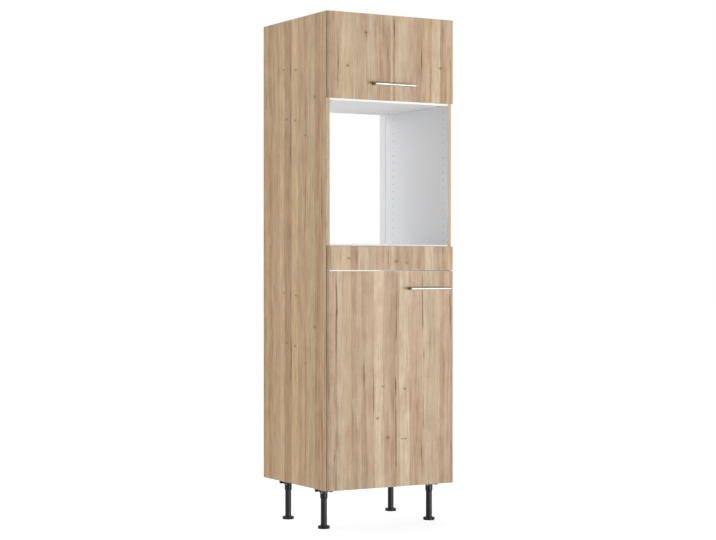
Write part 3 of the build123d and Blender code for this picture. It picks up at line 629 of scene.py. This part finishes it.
def front_oak(name, scene, low, high):
    """Oak decor on the face and edges of a front, white on its back and raw in its drillings."""
    recipe = Recipe("oak_" + name)
    place = recipe.place()
    x, y, z = place
    u = (x - low.x) + (y - low.y) * 0.5
    oak = oak_layers(recipe, scene.cabinet_oak, u, z - low.z, FRONT_WIDTH, DECORS[name], SEEDS[name])
    white = white_layers(recipe, scene.cabinet_boards, place)
    chips = chip_layers(recipe, scene.cabinet_boards, place)
    inset = 3 * SKIN
    inside = x.within(low.x + inset, high.x - inset, 0.5 * inset)
    inside = inside * z.within(low.z + inset, high.z - inset, 0.5 * inset)
    inside = inside * y.step(low.y + SKIN, low.y + 2 * SKIN)
    back = y.step(high.y - SKIN, high.y - 0.5 * SKIN)
    layers = layered(recipe, inside, oak, chips)
    return finished(recipe, layered(recipe, back, layers, white))


def side_oak(side, scene, shift):
    """Oak decor outside and on the front edge of a side, white inside, raw on other edges and in holes."""
    recipe = Recipe("oak_" + side + "_side")
    place = recipe.place()
    x, y, z = place
    depth = abs(x)
    u = (y - SIDE_LOW.y) + (OUTER_X - depth)
    look = scene.cabinet_oak
    oak = oak_layers(recipe, look, u, z - SIDE_LOW.z, SIDE_DEPTH, DECORS["side"], SEEDS[side], shift)
    white = white_layers(recipe, scene.cabinet_boards, place)
    chips = chip_layers(recipe, scene.cabinet_boards, place)
    half = 0.5 * SKIN
    band = 1.0 - y.step(SIDE_LOW.y + half, SIDE_LOW.y + SKIN)
    core = depth.within(INNER_X + half, OUTER_X - half, half)
    low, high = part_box("upper_back_panel")
    room = GROOVE_ROOM + SKIN
    groove = y.within(low.y - room, high.y + room, SKIN) * (1.0 - depth.step(high.x, OUTER_X))
    inner = (1.0 - depth.step(INNER_X + half, INNER_X + SKIN)) * (1.0 - band)
    inner = inner.math("MAXIMUM", groove)
    # Painted shade: away from its front edge, the side's decor is multiplied by the tint that stands in for
    # the light falling on the sides
    side_painted_shade = recipe.mix(1.0 - band, oak[0], recipe.mix(1.0, oak[0], look.warmth, "MULTIPLY"))
    pale = recipe.mix(band * EDGE_PALENESS, side_painted_shade, look.cream)
    layers = layered(recipe, core * (1.0 - band), (pale, *oak[1:]), chips)
    return finished(recipe, layered(recipe, inner, layers, white))


def white_board(node, scene):
    """White melamine on a panel's faces and front edge, raw on its other edges and in its drillings."""
    low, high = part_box(node)
    recipe = Recipe("white_" + node)
    place = recipe.place()
    white = white_layers(recipe, scene.cabinet_boards, place)
    chips = chip_layers(recipe, scene.cabinet_boards, place)
    thin = 2 if high.z - low.z < high.y - low.y else 1
    half = 0.5 * SKIN
    core = place[thin].within(low[thin] + half, high[thin] - half, half)
    core = core * place[1].step(low.y + half, low.y + SKIN)
    return finished(recipe, layered(recipe, core, white, chips), 0.15 * MM)


def hardboard(scene):
    """White lacquer on the front of the thin back and brown fibre behind."""
    low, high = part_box("upper_back_panel")
    recipe = Recipe("hardboard")
    place = recipe.place()
    white = white_layers(recipe, scene.cabinet_boards, place)
    fibre = recipe.speckle(place, 260.0, detail=4.0, roughness=0.7)
    mesh = recipe.speckle(place, 1100.0)
    brown = recipe.shaded(scene.cabinet_boards.fibre, 0.6 + fibre * 0.8)
    rear = place[1].step(low.y + SKIN, low.y + 2 * SKIN)
    layers = layered(recipe, rear, white, (brown, 0.75 + (fibre - 0.5) * 0.3, fibre + mesh))
    return finished(recipe, layers)


def metal(name, colour, roughness, waves, marks=0.3):
    """Plated or brushed metal, with brush marks whose count per metre differs along the three axes."""
    recipe = Recipe(name)
    place = recipe.place()
    brush = recipe.noise(*[value * count for value, count in zip(place, waves)], detail=2.0, roughness=0.6)
    cloud = recipe.speckle(place, 60.0)
    tone = recipe.shaded(colour, 1.0 + (brush - 0.5) * marks + (cloud - 0.5) * 0.12)
    rough = roughness + (brush - 0.5) * 0.18 + (cloud - 0.5) * 0.1
    normal = recipe.bump(brush, 0.12, 0.05 * MM)
    return recipe.surface(Base_Color=tone, Metallic=1.0, Roughness=rough, Normal=normal)


def moulded(name, colour, roughness, texture=700.0):
    """Plastic, rubber or lacquer with a fine moulded texture and a little dust."""
    recipe = Recipe(name)
    place = recipe.place()
    pebble = recipe.speckle(place, texture)
    cloud = recipe.speckle(place, 35.0, detail=3.0)
    dust = cloud.step(0.55, 0.8) * 0.35
    tone = recipe.mix(dust * 0.12, recipe.shaded(colour, 0.8 + cloud * 0.4), (0.35, 0.34, 0.33))
    rough = roughness + (cloud - 0.5) * 0.2 + (pebble - 0.5) * 0.1
    normal = recipe.bump(pebble, 0.18, 0.1 * MM)
    return recipe.surface(Base_Color=tone, Roughness=rough, Normal=normal, Specular_IOR_Level=0.45)


def dowel_wood(name, colour):
    """Pressed beech with grain along X."""
    recipe = Recipe(name)
    x, y, z = recipe.place()
    grain = recipe.noise(x * 30.0, y * 900.0, z * 900.0, detail=3.0)
    rays = recipe.noise(x * 220.0, y * 1400.0, z * 1400.0).step(0.6, 0.7)
    tone = recipe.shaded(colour, 0.82 + grain * 0.36 - rays * 0.15)
    return finished(recipe, (tone, 0.7 + (grain - 0.5) * 0.2, grain), 0.2 * MM)


def dress(material, *nodes):
    """Gives CAD nodes a finish."""
    for name in nodes:
        piece = frame["nodes"][name]
        if not piece.material_slots:
            piece.data.materials.append(material)
        for slot in piece.material_slots:
            slot.material = material


def linked(name, data):
    """A new object in the scene."""
    made = bpy.data.objects.new(name, data)
    bpy.context.scene.collection.objects.link(made)
    return made


def new_piece(name, mesh, body, material=None):
    """Adds a finished mesh to the scene, on a body, with a material slot when a material is given."""
    piece = linked(name, mesh)
    if material is not None:
        mesh.materials.append(material)
    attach(piece, body)
    return piece


def mesh_of(form, name):
    """Turns a bmesh into a mesh with merged points, outward faces and smooth round sides."""
    bmesh.ops.remove_doubles(form, verts=form.verts, dist=0.005 * MM)
    bmesh.ops.recalc_face_normals(form, faces=form.faces)
    mesh = bpy.data.meshes.new(name)
    form.to_mesh(mesh)
    form.free()
    mesh.shade_smooth()
    mesh.set_sharp_from_angle(angle=radians(35))
    return mesh


def rings(form, outlines, closed=False):
    """Skins a row of outlines with the same number of points, and joins its ends or gives each a face."""
    rows = [[form.verts.new(point) for point in outline] for outline in outlines]
    for low, high in zip(rows, rows[1:] + rows[:1] if closed else rows[1:]):
        for i in range(len(low)):
            j = (i + 1) % len(low)
            form.faces.new((low[i], low[j], high[j], high[i]))
    if not closed:
        form.faces.new(rows[0])
        form.faces.new(rows[-1])


def circle(radius, z, count, rim=None):
    """Points of a circle, or of a rim whose radius follows the angle, drawn in by the given inset."""
    points = []
    for i in range(count):
        angle = 2 * pi * i / count
        reach = radius if rim is None else rim(angle) - radius
        points.append(Vector((reach * cos(angle), reach * sin(angle), z)))
    return points


def circles(profile, rise, count, rim=None):
    """Circles along a profile in millimetres, each a radius and a height that is stretched by the rise."""
    return [circle(radius * MM, z * rise, count, rim) for radius, z in profile]


def new_tree(name, inputs):
    """A Geometry Nodes tree with named inputs, ready for its nodes."""
    tree = bpy.data.node_groups.new(name, "GeometryNodeTree")
    tree.interface.new_socket("Geometry", in_out="INPUT", socket_type="NodeSocketGeometry")
    for title, kind in inputs.items():
        tree.interface.new_socket(title, in_out="INPUT", socket_type="NodeSocket" + kind)
    tree.interface.new_socket("Geometry", in_out="OUTPUT", socket_type="NodeSocketGeometry")
    recipe = Recipe(name, tree)
    given = recipe.outputs(recipe.node("NodeGroupInput"))
    return recipe, {value.socket.name: value for value in given if value.socket.name}


def end_tree(recipe, geometry, material):
    """Ends a tree in real faces with their material."""
    real = recipe.node("GeometryNodeRealizeInstances", {"Geometry": geometry})
    made = recipe.node("GeometryNodeSetMaterial", {"Geometry": real, "Material": material})
    recipe.node("NodeGroupOutput", {"Geometry": made})
    return recipe.tree


def ring_tree():
    """Copies of the object's own shape in rings about the corners of a rectangle."""
    inputs = {"Count": "Int", "Width": "Float", "Depth": "Float"}
    inputs.update({"Middle": "Vector", "Turn": "Rotation", "Material": "Material"})
    recipe, given = new_tree("Rings on a grid", inputs)
    turn = recipe.node("GeometryNodeInputIndex") * (2 * pi) / given["Count"]
    spokes = recipe.node("GeometryNodePoints", {"Count": given["Count"]})
    spoke = {"Points": spokes, "Instance": given["Geometry"], "Rotation": recipe.vector(0.0, 0.0, turn)}
    ring = recipe.node("GeometryNodeInstanceOnPoints", spoke)
    size = {"Size X": given["Width"], "Size Y": given["Depth"], "Vertices X": 2, "Vertices Y": 2}
    grid = recipe.node("GeometryNodeMeshGrid", size)
    copies = recipe.node("GeometryNodeInstanceOnPoints", {"Points": grid, "Instance": ring})
    move = {"Geometry": copies, "Translation": given["Middle"], "Rotation": given["Turn"]}
    return end_tree(recipe, recipe.node("GeometryNodeTransform", move), given["Material"])


def thread_tree():
    """A screw thread: a small triangle swept along a helix."""
    inputs = {"Radius": "Float", "Height": "Float", "Turns": "Float", "Ridge": "Float"}
    inputs.update({"Foot": "Vector", "Material": "Material"})
    recipe, given = new_tree("Screw thread", inputs)
    winding = {"Resolution": 28, "Rotations": given["Turns"], "Height": given["Height"]}
    winding.update({"Start Radius": given["Radius"], "End Radius": given["Radius"]})
    helix = recipe.node("GeometryNodeCurveSpiral", winding)
    triangle = {"Resolution": 3, "Radius": given["Ridge"]}
    ridge = recipe.node("GeometryNodeCurvePrimitiveCircle", triangle)
    swept = {"Curve": helix, "Profile Curve": ridge, "Fill Caps": True}
    sweep = recipe.node("GeometryNodeCurveToMesh", swept)
    placed = recipe.node("GeometryNodeTransform", {"Geometry": sweep, "Translation": given["Foot"]})
    return end_tree(recipe, placed, given["Material"])


def grown(name, seed_mesh, tree, settings, body):
    """Runs a tree on a mesh and keeps the result as a plain piece on a body."""
    source = linked(name + "_source", seed_mesh)
    modifier = source.modifiers.new("Nodes", "NODES")
    modifier.node_group = tree
    for item in tree.interface.items_tree:
        if item.in_out == "INPUT" and item.name in settings:
            modifier[item.identifier] = settings[item.name]
    depsgraph = bpy.context.evaluated_depsgraph_get()
    mesh = bpy.data.meshes.new_from_object(source.evaluated_get(depsgraph))
    source.modifiers.remove(modifier)
    bpy.data.objects.remove(source)
    if not mesh.polygons:
        raise RuntimeError(name + " came out empty")
    mesh.name = name
    return new_piece(name, mesh, body)


def leg_middle(leg):
    """The point on the floor under a leg."""
    low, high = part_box("foot_" + leg)
    return Vector(((low.x + high.x) / 2, (low.y + high.y) / 2, low.z))


def foot_rim(angle):
    """Radius of the foot's rim, which has grip notches all round."""
    step = 2 * pi / NOTCH_COUNT
    off = (angle + step / 2) % step - step / 2
    side = FOOT_RADIUS * sin(off)
    if abs(side) >= NOTCH_RADIUS:
        return FOOT_RADIUS
    return min(FOOT_RADIUS, FOOT_RADIUS * cos(off) - sqrt(NOTCH_RADIUS**2 - side**2))


def foot_mesh(leg, name, core):
    """A moulded foot: a recessed sole, a notched rim, a grooved top and the core of its threaded stem."""
    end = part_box("foot_" + leg)[1].z
    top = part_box("leg_tubes")[0].z - FOOT_CLEARANCE
    rise = top / FOOT_HEIGHT
    middle = leg_middle(leg)
    outlines = circles(FOOT_SOLE, MM, FOOT_POINTS)
    outlines += circles(FOOT_RIM, rise, FOOT_POINTS, foot_rim)
    outlines += circles(FOOT_TOP, rise, FOOT_POINTS)
    for radius, z in ((core, top), (core, end - STEM_CHAMFER), (core - STEM_CHAMFER, end)):
        outlines.append(circle(radius, z, FOOT_POINTS))
    form = bmesh.new()
    rings(form, [[point + middle for point in outline] for outline in outlines])
    return mesh_of(form, name)


def rib_mesh(sizes):
    """A three-cornered rib between a leg socket's boss and its plate, along X from the socket's axis."""
    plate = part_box("leg_sockets")[1].z - SOCKET_PLATE
    half = sizes.rib_thickness / 2
    profile = ((RIB_INNER, plate), (RIB_OUTER, plate))
    profile += ((RIB_OUTER, plate - RIB_TIP), (RIB_INNER, plate - sizes.rib_height))
    form = bmesh.new()
    rings(form, [[(x, y, z) for x, z in profile] for y in (-half, half)])
    bmesh.ops.bevel(form, geom=form.edges[:], offset=RIB_ROUND, segments=2, affect="EDGES")
    return mesh_of(form, "socket_rib")


def adjuster_mesh(sizes):
    """A hinge's adjusting screw: a domed head with a cross slot, standing on its seat."""
    radius = sizes.adjuster_diameter / 2
    outlines = [circle(part * radius, z * MM, ADJUSTER_POINTS) for part, z in ADJUSTER_HEAD]
    cross = []
    for spoke in circle(1.0, 0.0, ADJUSTER_POINTS):
        along = max(abs(spoke.x), abs(spoke.y))
        across = min(abs(spoke.x), abs(spoke.y))
        cross.append(spoke * radius * min(SLOT_LENGTH / along, SLOT_WIDTH / max(across, 0.001)))
    top = Vector((0.0, 0.0, ADJUSTER_HEAD[-1][1] * MM))
    outlines.append([point + top for point in cross])
    outlines.append([SLOT_TAPER * point + Vector((0.0, 0.0, SLOT_FLOOR)) for point in cross])
    form = bmesh.new()
    rings(form, outlines)
    return mesh_of(form, "adjuster_screw")


def joint_named(name):
    """The record's joint of that name."""
    return next(joint for joint in frame["joints"] if joint["name"] == name)


def gland_mesh(sizes):
    """The crimped rings at the mouths of both strut tubes."""
    axis = Vector(joint_named("strut_extend")["axis"]).normalized()
    pivot = Vector(joint_named("strut_swing")["pos_m"])
    tubes = frame["nodes"]["strut_cylinders"].data.vertices
    mouth = max((vertex.co - pivot).dot(axis) for vertex in tubes)
    low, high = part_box("strut_cylinders")
    reach = (high.x - low.x) / 2 - STRUT_RADIUS
    turn = axis.to_track_quat("Z", "Y").to_matrix().to_4x4()
    outlines = circles(GLAND_PROFILE, sizes.gland_width / GLAND_WIDTH, GLAND_POINTS)
    form = bmesh.new()
    for side in (-1, 1):
        place = Matrix.Translation(pivot + Vector((side * reach, 0, 0)) + axis * mouth) @ turn
        rings(form, [[place @ point for point in outline] for outline in outlines], closed=True)
    return mesh_of(form, "strut_glands")


class CABINET_OT_fronts(bpy.types.Operator):
    """Dress the flap, the fascia and the door in oak decor"""

    bl_idname = "cabinet.fronts"
    bl_label = "Fronts"

    def execute(self, context):
        scene = context.scene
        fronts = {
            "flap": (FLAP_LOW, FLAP_HIGH),
            "fascia": (FASCIA_LOW, FASCIA_HIGH),
            "door": (DOOR_LOW, DOOR_HIGH),
        }
        for name, (low, high) in fronts.items():
            dress(front_oak(name, scene, low, high), name + "_panel")
        return {"FINISHED"}


class CABINET_OT_carcass(bpy.types.Operator):
    """Dress the sides, the inner panels, the back and the rail"""

    bl_idname = "cabinet.carcass"
    bl_label = "Carcass"

    def execute(self, context):
        scene = context.scene
        for side, shift in (("left", 0.0), ("right", RIGHT_SHIFT)):
            dress(side_oak(side, scene, shift), side + "_side_panel")
        for node in ("bottom_panel", "oven_shelf", "compartment_floor", "top_panel", "wall_rail"):
            dress(white_board(node, scene), node)
        dress(hardboard(scene), "upper_back_panel")
        return {"FINISHED"}


class CABINET_OT_handles(bpy.types.Operator):
    """Dress the bar handles in brushed steel"""

    bl_idname = "cabinet.handles"
    bl_label = "Bar handles"

    def execute(self, context):
        look = context.scene.cabinet_metal
        bar = metal("brushed_bar", look.steel, look.roughness, BRUSHED, marks=0.12)
        # Painted shade: the posts get the darker steel colour that stands in for their shade
        post = metal("turned_post_painted_shade", look.shade, look.roughness + 0.1, TURNED)
        for front in ("flap", "door"):
            dress(bar, front + "_handle_bar")
            dress(post, front + "_handle_posts")
        return {"FINISHED"}


class CABINET_OT_hinges(bpy.types.Operator):
    """Dress the concealed hinges and add their adjusting screws"""

    bl_idname = "cabinet.hinges"
    bl_label = "Concealed hinges"

    def execute(self, context):
        look, sizes = context.scene.cabinet_metal, context.scene.cabinet_details
        pressed = metal("pressed_nickel", look.nickel, 0.24, PRESSED, marks=0.16)
        zinc = metal("adjuster_zinc", look.zinc, 0.26, PLATED)
        for front in ("flap", "door"):
            for part in ("cups", "arms", "plates"):
                dress(pressed, front + "_hinge_" + part)
        tree = ring_tree()
        turns = {"door": (0.0, radians(90), 0.0), "flap": (radians(180), 0.0, 0.0)}
        for front, turn in turns.items():
            low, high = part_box(front + "_hinge_arms")
            middle = (low + high) / 2
            middle.y = high.y - ADJUSTER_FROM_END - ADJUSTER_SPACING / 2
            if front == "door":
                middle.x = high.x
                width = high.z - low.z - HINGE_ARM_WIDTH
            else:
                middle.z = low.z
                width = high.x - low.x - HINGE_ARM_WIDTH
            settings = {"Count": 1, "Width": width, "Depth": ADJUSTER_SPACING}
            settings.update({"Middle": middle, "Turn": turn, "Material": zinc})
            grown(front + "_hinge_adjusters", adjuster_mesh(sizes), tree, settings, "carcass")
        return {"FINISHED"}


class CABINET_OT_struts(bpy.types.Operator):
    """Dress the gas struts and add the rings at their mouths"""

    bl_idname = "cabinet.struts"
    bl_label = "Gas struts"

    def execute(self, context):
        plastic, look = context.scene.cabinet_plastic, context.scene.cabinet_metal
        lacquer = moulded("strut_lacquer", plastic.lacquer, 0.24, texture=1500.0)
        dress(lacquer, "strut_cylinders")
        dress(metal("strut_chrome", look.chrome, 0.08, DRAWN, marks=0.06), "strut_rods")
        ring = metal("gland_nickel", look.nickel, 0.3, CRIMPED)
        mesh = gland_mesh(context.scene.cabinet_details)
        new_piece("strut_glands", mesh, "strut_tubes", ring)
        return {"FINISHED"}


class CABINET_OT_fittings(bpy.types.Operator):
    """Dress the screws, brackets, cams, bolts, dowels and buffers"""

    bl_idname = "cabinet.fittings"
    bl_label = "Fittings"

    def execute(self, context):
        look, plastic = context.scene.cabinet_metal, context.scene.cabinet_plastic
        zinc = metal("plated_screw", look.zinc, 0.28, PLATED)
        plate = metal("bracket_nickel", look.nickel, 0.3, PRESSED, marks=0.18)
        # Painted shade: the cams' near-black colour stands in for the shade in their recesses
        cast = metal("die_cast_cam_painted_shade", look.cam_painted_shade, 0.42, CAST, marks=0.4)
        for group in ("flap_cup", "door_cup", "flap_plate", "door_plate", "flap_handle", "door_handle",
                      "strut_carcass", "strut_flap", "fascia", "leg"):
            dress(zinc, group + "_screws")
        dress(zinc, "cam_bolts", "flap_hinge_pins", "door_hinge_pins")
        dress(plate, "fascia_brackets", "strut_carcass_brackets", "strut_flap_brackets")
        dress(cast, "cam_fittings")
        dress(dowel_wood("pressed_beech", plastic.beech), "dowels")
        dress(moulded("clear_buffer", plastic.rubber, 0.3), "door_buffers", "flap_buffers")
        return {"FINISHED"}


class CABINET_OT_legs(bpy.types.Operator):
    """Dress the legs, and add the sockets' ribs and moulded feet with threaded stems"""

    bl_idname = "cabinet.legs"
    bl_label = "Legs"

    def execute(self, context):
        look, sizes = context.scene.cabinet_plastic, context.scene.cabinet_details
        tube = moulded("leg_plastic", look.black, look.roughness, texture=900.0)
        mould = moulded("foot_plastic", look.black, look.roughness + 0.03)
        dress(tube, "leg_tubes")
        dress(mould, "leg_sockets")
        points = [leg_middle(leg) for leg in LEG_NAMES]
        middle = sum(points, Vector()) / len(points)
        span = points[-1] - points[0]
        settings = {"Count": RIBS, "Width": span.x, "Depth": span.y, "Middle": middle, "Material": mould}
        grown("leg_socket_ribs", rib_mesh(sizes), ring_tree(), settings, "carcass")
        tree = thread_tree()
        core = STEM_RADIUS - sizes.thread_depth
        ridge = sizes.thread_depth / RIDGE_HEIGHT
        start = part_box("leg_tubes")[0].z
        for leg in LEG_NAMES:
            body = "foot_" + leg
            foot = new_piece(leg + "_foot", foot_mesh(leg, leg + "_foot", core), body, mould)
            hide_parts(body)
            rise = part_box(body)[1].z - start - THREAD_RUN_OUT
            settings = {"Height": rise, "Turns": rise / sizes.thread_pitch, "Ridge": ridge, "Material": mould}
            settings["Radius"] = STEM_RADIUS - ridge * RIDGE_SINK
            settings["Foot"] = leg_middle(leg) + Vector((0, 0, start))
            empty = bpy.data.meshes.new(leg + "_thread_seed")
            grown(leg + "_foot_thread", empty, tree, settings, body)
        return {"FINISHED"}


def lamp(name, power, size, place, target):
    """A soft rectangular lamp that the camera doesn't see."""
    data = bpy.data.lights.new(name, "AREA")
    data.shape = "RECTANGLE"
    data.size, data.size_y = size
    data.energy = power
    made = linked(name, data)
    made.location = place
    made.rotation_euler = (Vector(target) - Vector(place)).to_track_quat("-Z", "Y").to_euler()
    made.visible_camera = False


def ray_kinds(recipe):
    """What a ray is, by the names of the kinds."""
    return {value.socket.name: value for value in recipe.outputs(recipe.node("ShaderNodeLightPath"))}


def seen_directly(recipe):
    """1 for rays from the camera, mirrors and glass, and 0 for the rays that light the object."""
    rays = ray_kinds(recipe)
    seen = rays["Is Camera Ray"] + rays["Is Glossy Ray"] + rays["Is Transmission Ray"]
    return seen.math("MINIMUM", 1.0)


class CABINET_OT_stage(bpy.types.Operator):
    """Set up the camera, the soft lamps, the white surround and the floor"""

    bl_idname = "cabinet.stage"
    bl_label = "Stage"

    def execute(self, context):
        look, scene = context.scene.cabinet_stage, context.scene
        scene.view_settings.view_transform = "Standard"
        data = bpy.data.cameras.new("camera")
        data.lens, data.sensor_width, data.sensor_fit = look.lens, 36.0, "HORIZONTAL"
        data.shift_y = look.rise
        camera = linked("camera", data)
        camera.location = look.eye
        camera.rotation_euler = (radians(90), 0.0, look.turn)
        scene.camera = camera

        scene.world = bpy.data.worlds.new("surround")
        scene.world.use_nodes = True
        sky = Recipe("surround", scene.world.node_tree)
        side, back, up = sky.place("Generated")
        bright = (back * BRIGHT_BACK - side * BRIGHT_LEFT).step(*BRIGHT_EDGES)
        around = look.before + bright * (look.behind - look.before)
        dim = (1.0 - back.step(*DIM_BEFORE)).math("MAXIMUM", up.step(*DIM_ABOVE)) * look.dim
        white = 1.0 - ray_kinds(sky)["Is Glossy Ray"] * dim
        strength = around + (white - around) * seen_directly(sky)
        light = sky.node("ShaderNodeBackground", {"Color": (1, 1, 1), "Strength": strength})
        sky.node("ShaderNodeOutputWorld", {"Surface": light})

        lamp("key", look.key, *KEY_LAMP)
        lamp("gloss", look.gloss, *GLOSS_LAMP)

        reach = FLOOR_REACH
        corners = [(-reach, -reach, 0), (reach, -reach, 0), (reach, reach, 0), (-reach, reach, 0)]
        mesh = bpy.data.meshes.new("floor")
        mesh.from_pydata(corners, [], [(0, 1, 2, 3)])
        floor = linked("floor", mesh)
        paint = Recipe("floor_paint")
        matt = paint.node("ShaderNodeBsdfDiffuse", {"Color": look.floor})
        glow = paint.node("ShaderNodeEmission", {"Color": (1, 1, 1), "Strength": look.glow})
        rays = ray_kinds(paint)
        seen = rays["Is Camera Ray"] * FLOOR_SEEN + rays["Is Glossy Ray"] * FLOOR_MIRRORED
        both = paint.node("ShaderNodeMixShader", {0: seen, 1: matt, 2: glow})
        paint.node("ShaderNodeOutputMaterial", {"Surface": both})
        mesh.materials.append(paint.material)
        return {"FINISHED"}


class CABINET_PT_tools(bpy.types.Panel):
    """Lists the steps that dress the cabinet, and the looks that a user may change"""

    bl_label = "Oven housing cabinet"
    bl_idname = "CABINET_PT_tools"
    bl_space_type = "VIEW_3D"
    bl_region_type = "UI"
    bl_category = "Cabinet"

    def draw(self, context):
        for operator in OPERATORS:
            self.layout.operator(operator.bl_idname)
        for key, group in GROUPS.items():
            box = self.layout.box()
            box.label(text=group.__doc__)
            for name in group.__annotations__:
                box.prop(getattr(context.scene, key), name)


GROUPS = {
    "cabinet_oak": OakLook,
    "cabinet_boards": BoardLook,
    "cabinet_metal": MetalLook,
    "cabinet_plastic": PlasticLook,
    "cabinet_details": DetailSizes,
    "cabinet_stage": StageLook,
}
OPERATORS = (
    CABINET_OT_fronts,
    CABINET_OT_carcass,
    CABINET_OT_handles,
    CABINET_OT_hinges,
    CABINET_OT_struts,
    CABINET_OT_fittings,
    CABINET_OT_legs,
    CABINET_OT_stage,
)


def register():
    for key, group in GROUPS.items():
        bpy.utils.register_class(group)
        setattr(bpy.types.Scene, key, bpy.props.PointerProperty(type=group))
    for operator in OPERATORS:
        bpy.utils.register_class(operator)
    bpy.utils.register_class(CABINET_PT_tools)


def unregister():
    bpy.utils.unregister_class(CABINET_PT_tools)
    for operator in reversed(OPERATORS):
        bpy.utils.unregister_class(operator)
    for key, group in reversed(GROUPS.items()):
        delattr(bpy.types.Scene, key)
        bpy.utils.unregister_class(group)


def main():
    register()
    bpy.ops.cabinet.fronts()
    bpy.ops.cabinet.carcass()
    bpy.ops.cabinet.handles()
    bpy.ops.cabinet.hinges()
    bpy.ops.cabinet.struts()
    bpy.ops.cabinet.fittings()
    bpy.ops.cabinet.legs()
    bpy.ops.cabinet.stage()


if __name__ == "__main__":
    main()
